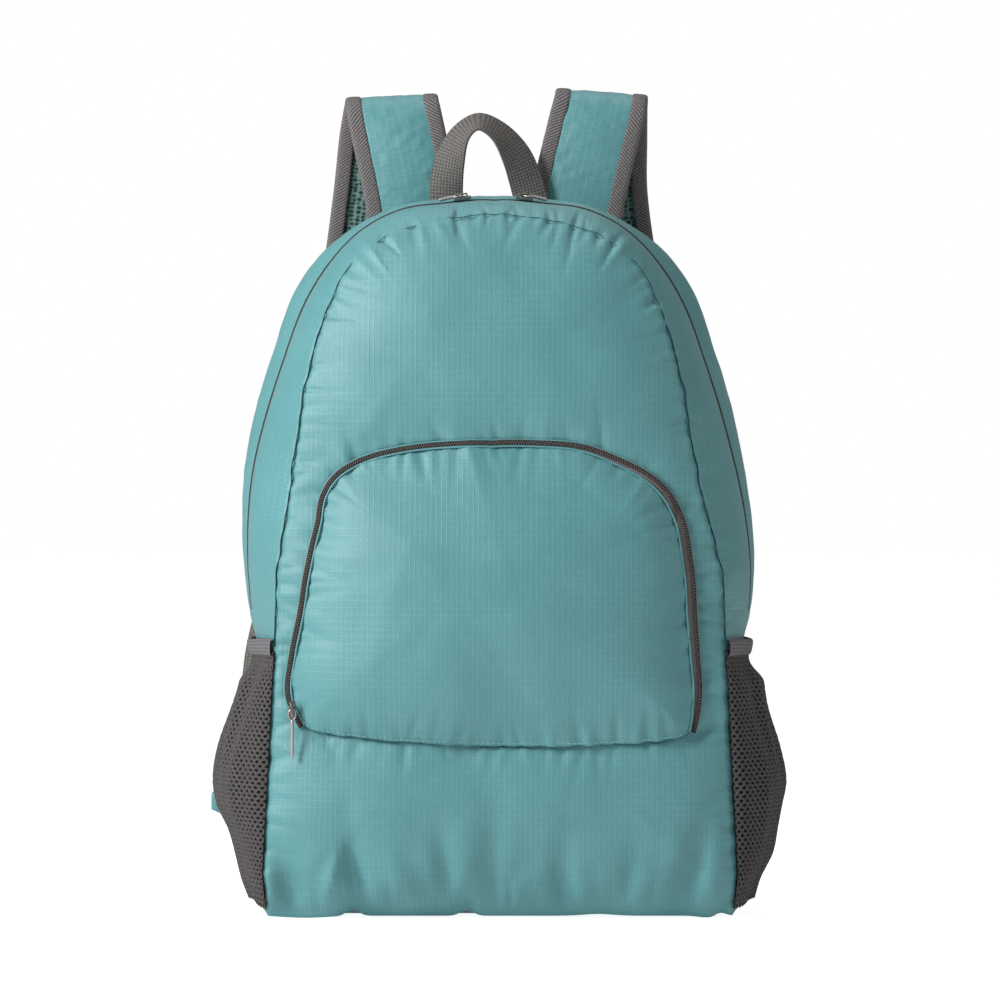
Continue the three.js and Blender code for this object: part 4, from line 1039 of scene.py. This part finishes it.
# Mesh side pockets. Coarse knitted net with oval holes, cut full so that it bellies out, sewn
# into the side seams and the base, and gathered at the top by a ribbed elastic hem.
mesh_low, mesh_top = 0.009, 0.1550
bulge_heights = (0, 0.08, 0.18, 0.27, 0.37, 0.47, 0.6, 0.75, 0.9, 1)
bulge = {
    "left": smooth_curve(bulge_heights, (0.2, 0.38, 0.52, 0.66, 0.92, 1.0, 0.9, 0.66, 0.42, 0.25)),
    "right": smooth_curve(bulge_heights, (0.28, 0.42, 0.7, 0.8, 0.9, 0.98, 0.85, 0.64, 0.52, 0.34)),
}


def knitted(name, dark, light, roughness=0.85):
    """Knitted or woven synthetic yarn: small loops with a painted highlight where they catch the
    light, and a bump that raises them.
    """
    material, surface, add, join = new_material(name)
    cut = add("UVMap", {}, uv_map="cut").outputs[0]
    loops = add("TexWave", {"Vector": cut, "Scale": 380.0, "Distortion": 3.0, "Detail": 2.0},
                wave_type="BANDS", bands_direction="DIAGONAL").outputs[1]
    spots = noise(add, 600.0, 3.0, cut)
    mixed = maths(add, "MULTIPLY", loops, spots)
    colour = mix(add, mixed, dark, light)
    raised = bump(add, mixed, 0.7, 0.0004)
    join(surface, {"Base Color": colour, "Normal": raised})
    surface.inputs["Roughness"].default_value = roughness
    return material


net_yarn = knitted("net_yarn", tone(52, 50, 49), tone(138, 134, 132))
# Near black, painted shade of the side pockets' dark inside, seen through the net's holes.
net_shadow = cloth_colour("net_painted_shadow", tone(22, 21, 20), tone(46, 44, 42), 800.0, 0.95)


def side_place(side, depth, height, stand):
    """A place on a side pocket: depth goes from the front seam to the back, stand is off the
    flank."""
    run = low_run(height)
    along = run if side < 0 else 1 - run
    step = 0.004
    here = over_gusset(along, depth)
    before, after = over_gusset(along - step, depth), over_gusset(along + step, depth)
    low, high = np.clip(depth - step, 0, 1), np.clip(depth + step, 0, 1)
    normal = unit(np.cross(after - before, over_gusset(along, high) - over_gusset(along, low)))
    wrong = normal[..., 0] * side < 0
    normal[wrong] *= -1
    return here + normal * np.asarray(stand)[..., None]


def belly(depth):
    return np.sin(np.pi * np.clip(depth, 0, 1)) ** 0.55


def net_place(side, word):
    """Places on a pocket's net: share goes evenly round it from the front seam, rise goes up."""
    depths = (1 - np.cos(np.linspace(0, np.pi, 121))) / 2
    rises = np.linspace(0, 1, 91)
    depth, rise = np.meshgrid(depths, rises)
    height = mesh_low + (mesh_top - mesh_low) * rise
    pleats = 0.0013 * np.sin(depth * 34 + 4 * rise) * belly(depth) * np.clip(rise * 2 - 0.5, 0, 1)
    pleats += 0.0010 * np.sin(depth * 21 - 7 * rise) * belly(depth)
    stand = 0.0010 + 0.026 * bulge[word](rise) * belly(depth) + pleats
    drawn_in = eased((rise - 0.86) / 0.12)
    stand += drawn_in * (0.0004 + 0.0054 * belly(depth) - stand)
    grid = rolled(side_place(side, depth, height, stand).reshape(-1, 3)).reshape(91, 121, 3)
    even = np.empty_like(grid)
    for row, line in enumerate(grid):
        steps = way_along(line)
        for k in range(3):
            even[row, :, k] = np.interp(np.linspace(0, steps[-1], 121), steps, line[:, k])
    normal = unit(np.cross(np.gradient(even, axis=1), np.gradient(even, axis=0)))
    normal *= np.sign((normal[..., 0] * side).mean())

    def at(share, up, lift):
        column, row = np.clip(share, 0, 1) * 119.999, np.clip(up, 0, 1) * 89.999
        c, r = column.astype(int), row.astype(int)
        fc, fr = (column - c)[:, None], (row - r)[:, None]
        both = np.concatenate([even, normal], axis=2)
        mixed = (1 - fr) * ((1 - fc) * both[r, c] + fc * both[r, c + 1])
        mixed += fr * ((1 - fc) * both[r + 1, c] + fc * both[r + 1, c + 1])
        return mixed[:, :3] + mixed[:, 3:] * np.asarray(lift)[:, None]

    return at


def net_cells(columns, rows):
    """Staggered cells in a unit square. Each is a yarn ring round an oval hole, given as share,
    rise and height off the net."""
    points, faces, known = [], [], {}
    wide, tall = 0.5 / columns, 0.5 / (rows + 0.5)
    rim = [(0, 1.333), (-0.5, 1.0), (-1, 0.667), (-1, 0), (-1, -0.667), (-0.5, -1.0), (0, -1.333),
           (0.5, -1.0), (1, -0.667), (1, 0), (1, 0.667), (0.5, 1.0)]

    def corner(x, y):
        key = (round(x * 2e4), round(y * 2e4))
        if key not in known:
            known[key] = len(points)
            points.append((x, y, 0.0))
        return known[key]

    for row in range(rows):
        shift = 0.5 * (row % 2)
        for column in range(-1, columns + 1):
            x, y = (column + 0.5 + shift) / columns, (row + 0.75) / (rows + 0.5)
            if not -0.01 < x < 1.01:
                continue
            outer = [corner(x + wide * a, y + tall * b) for a, b in rim]
            rings = [outer]
            for reach, lift in ((0.66, -0.00012), (0.50, -0.00095)):
                rings.append(list(range(len(points), len(points) + 12)))
                for k, (a, b) in enumerate(rim):
                    length = math.hypot(a, b)
                    turn = math.atan2(b, a)
                    points.append((x + wide * reach * math.cos(turn) * 0.98,
                                   y + tall * reach * math.sin(turn) * 1.18, lift))
            for low, high in zip(rings[:-1], rings[1:]):
                for k in range(12):
                    after = (k + 1) % 12
                    faces.append((low[k], low[after], high[after], high[k]))
    return np.array(points), faces


for word, side in (("left", -1), ("right", 1)):
    at = net_place(side, word)
    cells, faces = net_cells(29, 58)
    points = at(cells[:, 0], cells[:, 1], cells[:, 2])
    cut = np.column_stack([cells[:, 0] * 0.13, cells[:, 1] * 0.145])
    net = sewn_piece(f"net_pocket_{word}", points, faces, cut, net_yarn)
    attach(net, "bag")
    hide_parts(f"mesh_pocket_{word}")
    # A dark sheet just behind the net: painted shade of the pocket's inside, showing in the holes.
    share, rise = np.meshgrid(np.linspace(0, 1, 70), np.linspace(0, 1, 60))
    places = at(share.ravel(), rise.ravel(), np.full(share.size, -0.0014))
    net_shade_sheet = sewn_piece(
        f"net_painted_shade_{word}", places, grid_faces(60, 70),
        np.column_stack([share.ravel() * 0.13, rise.ravel() * 0.145]), net_shadow
    )
    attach(net_shade_sheet, "bag")

# Hems of the side pockets. Ribbed grey elastic, folded over the net's edge and stitched through.
def ribbed(name, dark, light, across_pitch, along_pitch, strength=0.6, roughness=0.72):
    """Woven tape with raised ribs one way and small picks the other."""
    material, surface, add, join = new_material(name)
    cut = add("UVMap", {}, uv_map="cut").outputs[0]
    sides = add("SeparateXYZ", {0: cut})
    rib = maths(add, "PINGPONG", sides.outputs["X"], along_pitch / 2)
    pick = maths(add, "PINGPONG", sides.outputs["Y"], across_pitch / 2)
    rib = add("MapRange", {"Value": rib, "From Max": along_pitch / 2}).outputs[0]
    pick = add("MapRange", {"Value": pick, "From Max": across_pitch / 2}).outputs[0]
    weave = maths(add, "MULTIPLY", rib, pick)
    spots = noise(add, 700.0, 3.0, cut)
    level = maths(add, "MULTIPLY", weave, 0.65)
    spot_level = maths(add, "MULTIPLY", spots, 0.45)
    total = maths(add, "ADD", level, spot_level)
    colour = mix(add, total, dark, light)
    raised = bump(add, weave, strength, 0.0003)
    join(surface, {"Base Color": colour, "Normal": raised})
    surface.inputs["Roughness"].default_value = roughness
    return material


elastic = ribbed("ribbed_elastic", tone(70, 68, 70), tone(158, 154, 158), 0.0019, 0.0009)
hem_top, hem_height = 0.162, 0.010
for word, side in (("left", -1), ("right", 1)):
    t = np.linspace(0, 1, 90)
    section = [(0.0, 0.0), (0.0, 0.0013), (0.12, 0.0021), (0.5, 0.0023), (0.88, 0.0021),
               (1.0, 0.0013), (1.0, 0.0)]
    rows = []
    for up, lift in section:
        height = hem_top - hem_height + up * hem_height + 0 * t
        gathered = 0.0005 * np.sin(t * 95) * belly(t)
        rows.append(side_place(side, t, height, 0.0003 + 0.0042 * belly(t) + lift + gathered))
    grid = np.array(rows)
    hem_piece = sewn_grid(f"elastic_hem_{word}", grid, elastic)
    finer(hem_piece)
    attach(hem_piece, "bag")
    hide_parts(f"pocket_hem_{word}")


# Shoulder straps. Each is ripstop over thin foam with an air-mesh lining, its two edges bound in
# grey twill tape. They leave the top seam, fold over and hang down behind the bag.
def smooth_path(places, across, spacing):
    """Evenly spaced stations along a smooth path: middles, directions across and outwards."""
    places, across = np.array(places, float), np.array(across, float)
    padded_ends = np.vstack([2 * places[0] - places[1], places, 2 * places[-1] - places[-2]])
    middles, widths = [], []
    for k in range(len(places) - 1):
        p0, p1, p2, p3 = padded_ends[k : k + 4]
        knots = np.cumsum([0] + [max(np.linalg.norm(b - a), 1e-6) ** 0.5
                                 for a, b in ((p0, p1), (p1, p2), (p2, p3))])
        for t in np.linspace(knots[1], knots[2], 60, endpoint=False):
            a1 = ((knots[1] - t) * p0 + t * p1) / knots[1]
            a2 = ((knots[2] - t) * p1 + (t - knots[1]) * p2) / (knots[2] - knots[1])
            a3 = ((knots[3] - t) * p2 + (t - knots[2]) * p3) / (knots[3] - knots[2])
            b1 = ((knots[2] - t) * a1 + t * a2) / knots[2]
            b2 = ((knots[3] - t) * a2 + (t - knots[1]) * a3) / (knots[3] - knots[1])
            middles.append(((knots[2] - t) * b1 + (t - knots[1]) * b2) / (knots[2] - knots[1]))
            share = (t - knots[1]) / (knots[2] - knots[1])
            widths.append(across[k] * (1 - share) + across[k + 1] * share)
    middles.append(places[-1])
    widths.append(across[-1])
    both = even_steps(np.hstack([middles, np.array(widths) * 1e-6]), spacing)
    middle, wide = both[:, :3], both[:, 3:] * 1e6
    ahead = heading(middle)
    wide = unit(wide - (wide * ahead).sum(1)[:, None] * ahead)
    return middle, wide, np.cross(wide, ahead)


def ribbon(name, path, section, material, closed=False):
    """A long piece with the same section along a path. Section takes the share of the way."""
    middle, wide, out = path
    shares = np.linspace(0, 1, len(middle))
    rows = np.array([section(share) for share in shares])
    grid = middle[:, None] + wide[:, None] * rows[..., :1] + out[:, None] * rows[..., 1:2]
    grid = grid.transpose(1, 0, 2)
    if closed:
        grid = np.vstack([grid, grid[:1]])
    return sewn_grid(name, grid, material)


strap_half_width, strap_end_half = 0.028, 0.017
strap_out, strap_drop = 0.060, 0.190
top_back = back_depth * 0.7
# Places of each strap from the top seam on: sideways for the left and the right strap as shares
# of the half width, then out, up and down as shares, and the tilt in degrees
strap_table = (
    (-0.328, 0.281, 0.2, 0, 0.137, 0),
    (-0.355, 0.314, 0.217, 0.06, 0, 0),
    (-0.401, 0.368, 0.267, 0.606, 0, 0),
    (-0.428, 0.401, 0.342, 0.909, 0, 0),
    (-0.435, 0.408, 0.517, 1, 0, 0),
    (-0.441, 0.408, 0.7, 0.924, 0, 0),
    (-0.462, 0.408, 0.8, 0.636, 0, 2),
    (-0.488, 0.411, 0.883, 0.076, 0, 5),
    (-0.555, 0.482, 0.983, 0, 0.316, 10),
    (-0.682, 0.615, 1, 0, 0.684, 14),
    (-0.783, 0.722, 0.9, 0, 1, 14),
)


def half_at(share):
    return strap_half_width + (strap_end_half - strap_half_width) * eased((share - 0.72) / 0.28)


air_mesh, surface, add, join = new_material("air_mesh")
cut = add("UVMap", {}, uv_map="cut").outputs[0]
stretched = add("VectorMath", {0: cut, 1: (400.0, 280.0, 1.0)}, operation="MULTIPLY").outputs[0]
cells = add("TexVoronoi", {"Vector": stretched, "Scale": 1.0, "Randomness": 0.35}).outputs[0]
# The holes are painted dark teal: painted shade in the hollows of the mesh.
holes = add("MapRange", {"Value": cells, "From Min": 0.28, "From Max": 0.5}).outputs[0]
colour = mix(add, holes, tone(34, 58, 58), tone(112, 148, 142))
raised = bump(add, holes, 0.9, 0.0007)
join(surface, {"Base Color": colour, "Normal": raised})
surface.inputs["Roughness"].default_value = 0.8

twill, surface, add, join = new_material("twill_binding")
cut = add("UVMap", {}, uv_map="cut").outputs[0]
sides = add("SeparateXYZ", {0: cut})
slant = maths(add, "MULTIPLY", sides.outputs["Y"], 0.7)
run = maths(add, "ADD", sides.outputs["X"], slant)
lines = maths(add, "PINGPONG", run, 0.00095)
lines = add("MapRange", {"Value": lines, "From Max": 0.00095}).outputs[0]
spots = noise(add, 900.0, 3.0, cut)
mixed = maths(add, "MULTIPLY", lines, spots)
colour = mix(add, mixed, tone(56, 53, 53), tone(196, 188, 188))
raised = bump(add, lines, 0.6, 0.0003)
join(surface, {"Base Color": colour, "Normal": raised})
surface.inputs["Roughness"].default_value = 0.75

strap_ends = {}
strap_pair = (("left", -1, 0, 0.0617, 2.5), ("right", 1, 1, 0.0642, 4.4))
for word, side, column, rise, tilt in strap_pair:
    places, widths = [], []
    for row in strap_table:
        turn = math.radians(max(row[5], tilt))
        places.append((
            half_width * row[column],
            top_back + strap_out * row[2],
            bag_height + rise * row[3] - strap_drop * row[4],
        ))
        widths.append((math.cos(turn), 0, -side * math.sin(turn)))
    path = smooth_path(places, widths, 0.0026)
    strap_ends[word] = [part[-1] for part in path]

    def face_section(share):
        half = half_at(share) - 0.0024
        across = np.linspace(-1, 1, 19)
        return np.column_stack([across * half, 0.0012 + 0.0020 * (1 - across**4)])

    face = ribbon(f"strap_face_{word}", path, face_section, teal_cloth)
    out = np.tile(path[2], (19, 1))
    if (normals_of(face.data) * out).sum() < 0:
        face.data.flip_normals()
    held = np.zeros((19, len(path[0])), bool)
    held[[0, 1, -2, -1]] = True
    held[:, [0, -1]] = True
    settle(face, held.ravel(), fullness=0.04, push=2.0, most=0.004, seed=50 + side)
    finer(face)
    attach(face, "bag")
    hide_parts(f"strap_{word}")

    def lining_section(share):
        half = half_at(share) - 0.0020
        across = np.linspace(-1, 1, 19)
        low = -0.0020 - 0.0022 * (1 - np.abs(across) ** 3)
        return np.vstack([
            np.column_stack([across * half, low]),
            np.column_stack([across[::-1] * half, 0 * across - 0.0004]),
        ])

    lining = ribbon(f"strap_padding_{word}", path, lining_section, air_mesh, closed=True)
    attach(lining, "bag")
    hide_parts(f"strap_lining_{word}")

    for place, way in (("outer", side), ("inner", -side)):
        def binding_section(share):
            edge = half_at(share)
            turned = [(-9.5, 1.9), (-9.3, 3.2), (-8.6, 3.5), (-5, 3.6), (-1.6, 3.4), (-0.4, 2.6),
                      (0, 1.0), (0, -3.0), (-0.4, -5.0), (-1.6, -5.8), (-5, -6.0), (-8.6, -5.9),
                      (-9.3, -5.5), (-9.5, -4.4)]
            return [(way * (edge + a / 1000), b / 1000) for a, b in turned]

        tape = ribbon(f"strap_tape_{word}_{place}", path, binding_section, twill)
        finer(tape)
        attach(tape, "bag")
        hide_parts(f"strap_binding_{word}_{place}")


# Webbing, buckles and anchor tabs. A moulded ladder buckle hangs from each strap's end, and ribbed
# webbing runs from it down to a folded triangle of ripstop sewn at the bag's lower corner.
webbing_weave = ribbed("webbing_weave", tone(28, 27, 26), tone(162, 156, 152), 0.0019, 0.0017, 1.0)
moulded, surface, add, join = new_material("moulded_plastic")
grain = noise(add, 1200.0, 2.0)
colour = mix(add, grain, tone(40, 39, 39), tone(62, 60, 60))
raised = bump(add, grain, 0.2, 0.0001)
join(surface, {"Base Color": colour, "Normal": raised})
surface.inputs["Roughness"].default_value = 0.42


def bars(name, pieces, material, edge):
    """Moulded bars: each has a middle, and three half axes."""
    points, faces = [], []
    box = [(x, y, z) for x in (-1, 1) for y in (-1, 1) for z in (-1, 1)]
    sides = ((0, 1, 3, 2), (4, 6, 7, 5), (0, 4, 5, 1), (2, 3, 7, 6), (0, 2, 6, 4), (1, 5, 7, 3))
    for middle, long, wide, high in pieces:
        shift = len(points)
        points += [middle + x * long + y * wide + z * high for x, y, z in box]
        faces += [tuple(shift + k for k in quad) for quad in sides]
    points = np.array(points)
    piece = sewn_piece(name, points, faces, points[:, [0, 2]], material)
    rounding = piece.modifiers.new("moulded edge", "BEVEL")
    rounding.width = edge
    rounding.segments = 3
    return piece


def flat_ribbon(half, thick):
    def section(share):
        return [(-half, 0.2 * thick), (-half, 0.8 * thick), (-half * 0.94, thick), (0, thick * 1.1),
                (half * 0.94, thick), (half, 0.8 * thick), (half, 0.2 * thick),
                (half * 0.94, 0), (0, 0), (-half * 0.94, 0)]
    return section


tab_level, tab_height, lock_length = 0.062, 0.044, 0.026
# Places of the webbing: sideways, out from the back and down as shares
webbing_table = {"left": (-0.91, -0.957, -0.983, -1.017), "right": (0.829, 0.863, 0.89, 0.923)}
webbing_backs, webbing_downs = (0.767, 0.633, 0.483, 0.4), (0.13, 0.33, 0.59, 0.75)
for word, side, reach in (("left", -1, 0.036), ("right", 1, 0.024)):
    middle, wide, out = strap_ends[word]
    along = np.cross(out, wide)
    half = 0.015
    parts = []
    for sideways in (-1, 1):
        parts.append((middle + along * 0.0133 + wide * sideways * (half - 0.002),
                      along * 0.0130, wide * 0.0020, out * 0.0020))
    for place, length in ((0.0033, 0.003), (0.0243, 0.002), (0.0140, 0.0016)):
        parts.append((middle + along * place, along * length, wide * half, out * 0.0019))
    lock = bars(f"ladder_buckle_{word}", parts, moulded, 0.0009)
    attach(lock, "bag")
    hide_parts(f"ladder_lock_{word}")

    run = low_run(tab_level)
    seam = over_gusset(run if side < 0 else 1 - run, 1.0)
    sewn_x = float(seam[0]) - side * 0.003
    sewn_away = beside(back_loop, np.array([[sewn_x, tab_level]]))[0]
    crown = back_crown * pillow(sewn_away, crown_reach)[0]
    seat_y = float(back_reach(tab_level) + crown) + 0.0006
    start = middle + along * (lock_length + 0.0006)
    ends = [np.array([sewn_x + side * (reach * 0.6 - above * 0.3), seat_y + 0.0024 + 0.0009,
                      tab_level + above]) for above in (0.016, 0.0)]
    start_z = (start + along * 0.008)[2]
    places = [start, start + along * 0.008]
    places += [np.array([half_width * x, top_back + strap_out * back,
                         start_z + (tab_level - start_z) * down])
               for x, back, down in zip(webbing_table[word], webbing_backs, webbing_downs)]
    places += ends
    lie = np.array([1, 0, -side * 0.3])
    path = smooth_path(places, [wide, wide] + [lie] * 6, 0.002)
    webbing = ribbon(f"webbing_strap_{word}", path, flat_ribbon(0.010, 0.0016), webbing_weave, True)
    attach(webbing, "bag")
    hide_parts(f"webbing_{word}")

    corners = np.array([
        (sewn_x, tab_level - tab_height / 2), (sewn_x + side * (reach + 0.003), tab_level - 0.005),
        (sewn_x + side * (reach + 0.003), tab_level + 0.005), (sewn_x, tab_level + tab_height / 2),
    ])
    loop = np.vstack([even_steps(corners[[k, (k + 1) % 4]], 0.003)[:-1] for k in range(4)])
    flat, faces = cut_cloth(loop, 0.003)
    away, _ = beside(loop, flat)
    folded = 0.0008 * pillow(away, 0.004)
    points = np.column_stack([flat[:, 0], seat_y + 0.0018 + folded, flat[:, 1]])
    tab = sewn_piece(f"corner_tab_{word}", points, faces, flat, teal_cloth)
    if normals_of(tab.data)[:, 1].sum() < 0:
        tab.data.flip_normals()
    doubled = tab.modifiers.new("doubled cloth", "SOLIDIFY")
    doubled.thickness = 0.0018
    doubled.offset = -1
    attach(tab, "bag")
    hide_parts(f"anchor_tab_{word}")

# Haul loop. A length of the same ribbed webbing, its two ends sewn into the top seam and its top
# turned over, so that the underside shows on its left shoulder.
# Places of the loop: sideways, forward and up as shares, how far it is sewn in, and its turn
haul_table = (
    (-0.97, 0, 0, 1, 0),
    (-1, 0, 0.087, 0, 4),
    (-0.906, 0.5, 0.543, 0, 30),
    (-0.688, 0.833, 0.87, 0, 65),
    (-0.406, 1, 1, 0, 92),
    (-0.063, 0.833, 0.891, 0, 115),
    (0.281, 0.5, 0.587, 0, 150),
    (0.531, 0, 0.13, 0, 176),
    (0.656, 0, 0, 1, 180),
)
haul_back = float(back_reach(bag_height)) + 0.0035 + 0.0018
places, widths = [], []
for x, forward, rise, sewn, turn in haul_table:
    turn = math.radians(turn)
    height = bag_height + 0.046 * rise - 0.012 * sewn
    places.append((0.032 * x, haul_back - 0.006 * forward, height))
    widths.append((math.cos(turn), -math.sin(turn), -0.65 * math.sin(turn)))
path = smooth_path(places, widths, 0.0015)
haul = ribbon("haul_webbing", path, flat_ribbon(0.010, 0.0018), webbing_weave, True)
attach(haul, "bag")
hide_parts("haul_loop")

# Sliders and pulls. Each slider is die-cast zinc with a nickel plate: a body on the coil and a low
# bridge that holds a wire ring, and the ring carries a thin round bar as a pull.
def plated(name, dark, light, grain, smooth, rough):
    """Plated metal with a fine uneven wear."""
    material, surface, add, join = new_material(name)
    wear = noise(add, grain, 4.0)
    colour = mix(add, wear, dark, light)
    scuffed = add("MapRange", {"Value": wear, "To Min": smooth, "To Max": rough}).outputs[0]
    join(surface, {"Base Color": colour, "Roughness": scuffed})
    surface.inputs["Metallic"].default_value = 1.0
    return material


nickel = plated("plated_nickel", tone(168, 168, 164), tone(226, 226, 222), 900.0, 0.36, 0.48)
dull_nickel = plated("dull_nickel", tone(92, 92, 90), tone(176, 176, 172), 700.0, 0.25, 0.45)


def zip_slider(word, pin, run, up, length):
    """A slider and its pull. The pin is the middle of the bridge, run the way the pull lies."""
    across = np.cross(run, up)
    seat = pin - up * 0.0031
    parts = [
        (seat + up * 0.0011 + run * 0.0014, run * 0.0038, across * 0.0023, up * 0.0009),
        (seat + up * 0.0011 - run * 0.0034, run * 0.0019, across * 0.0015, up * 0.0009),
        (seat + up * 0.0024 + run * 0.0033, run * 0.0005, across * 0.0008, up * 0.0013),
        (seat + up * 0.0024 - run * 0.0029, run * 0.0005, across * 0.0008, up * 0.0013),
        (seat + up * 0.0036 + run * 0.0002, run * 0.0036, across * 0.0008, up * 0.0004),
    ]
    body = bars(f"slider_{word}", parts, dull_nickel, 0.0004)
    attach(body, "bag")
    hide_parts({"pocket": "pocket_slider"}.get(word, f"main_slider_{word}"))

    turn = np.linspace(0, 2 * np.pi, 33)[:, None]
    ring_middle = pin + run * 0.0026 - up * 0.0004
    ring = ring_middle + run * 0.0030 * np.cos(turn) + across * 0.0021 * np.sin(turn)
    share = np.linspace(0, 1, 40)[:, None]
    bar = pin + run * (0.0052 + (length - 0.0052) * share) - up * (0.0006 + 0.0012 * share)
    radius = 0.0010 * np.minimum(1, 12 * np.minimum(share, 1 - share) + 0.3)[:, 0]
    node = {"pocket": "pocket_pull"}.get(word, f"main_pull_{word}")
    ring_piece = thin_tube(f"pull_ring_{word}", ring, 0.00045, nickel, 8, up)
    bar_piece = thin_tube(f"pull_bar_{word}", bar, radius, nickel, 10, up)
    for piece in (ring_piece, bar_piece):
        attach(piece, node)
    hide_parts(node)


pins = {joint["child"]: np.array(joint["pos_m"]) for joint in frame["joints"]}
pocket_pull_length, main_pull_length = 0.028, 0.0135
zip_slider(
    "pocket", pins["pocket_pull"], np.array([0.0, 0.0, -1.0]), np.array([0.0, -1.0, 0.0]),
    pocket_pull_length
)
for word, way in (("left", -1), ("right", 1)):
    pin = pins[f"main_pull_{word}"]
    nearest = np.linalg.norm(main_line - pin, axis=1).argmin()
    up = unit(main_out[nearest])
    run = np.gradient(main_line, axis=0)[nearest]
    run = (run - up * (run @ up)) * np.sign(run[0]) * way
    zip_slider(word, pin, unit(run), up, main_pull_length)

# The studio: a pale floor, a large soft light high on the left, weak ones on the right and above,
# and a white surround.
ground = bpy.data.meshes.new("floor")
ground.from_pydata([(-20, -20, 0), (20, -20, 0), (20, 20, 0), (-20, 20, 0)], [], [(0, 1, 2, 3)])
floor = bpy.data.objects.new("floor", ground)
bpy.context.scene.collection.objects.link(floor)
paper, surface, add, join = new_material("pale_paper")
surface.inputs["Base Color"].default_value = (0.8, 0.8, 0.8, 1)
surface.inputs["Roughness"].default_value = 0.9
surface.inputs["Emission Color"].default_value = (1, 1, 1, 1)
seen = add("LightPath", {}).outputs["Is Camera Ray"]
shine = add("MapRange", {"Value": seen, "To Min": 0.15, "To Max": 0.88}).outputs[0]
join(surface, {"Emission Strength": shine})
ground.materials.append(paper)


def soft_light(name, place, aim, size, watts):
    light = bpy.data.lights.new(name, "AREA")
    light.shape = "RECTANGLE"
    light.size, light.size_y = size
    light.energy = watts
    lamp = bpy.data.objects.new(name, light)
    lamp.location = place
    lamp.rotation_euler = (Vector(aim) - Vector(place)).to_track_quat("-Z", "Y").to_euler()
    bpy.context.scene.collection.objects.link(lamp)


soft_light("key_softbox", (-1.5, -1.0, 1.1), (0, 0, 0.22), (0.6, 0.9), 35)
soft_light("side_softbox", (1.7, -0.5, 1.1), (0, 0, 0.25), (0.8, 1.0), 3)
soft_light("top_softbox", (0.0, 0.3, 2.0), (0, 0, 0.3), (1.2, 1.2), 7)

world = bpy.data.worlds.new("white_surround")
world.use_nodes = True
tree = world.node_tree
backdrop = tree.nodes["Background"]
backdrop.inputs["Color"].default_value = (1, 1, 1, 1)
seen = tree.nodes.new("ShaderNodeLightPath")
level = tree.nodes.new("ShaderNodeMapRange")
level.inputs["To Min"].default_value = 0.18
level.inputs["To Max"].default_value = 1.0
tree.links.new(seen.outputs["Is Camera Ray"], level.inputs["Value"])
tree.links.new(level.outputs[0], backdrop.inputs["Strength"])
scene = bpy.context.scene
scene.world = world
scene.view_settings.view_transform = "Standard"

lens = bpy.data.cameras.new("camera")
lens.sensor_width = 36
lens.lens = 183.9
lens.clip_end = 100
camera = bpy.data.objects.new("camera", lens)
camera.location = (0, -3.0, 0.242)
camera.rotation_euler = (math.radians(90), 0, 0)
scene.collection.objects.link(camera)
scene.camera = camera
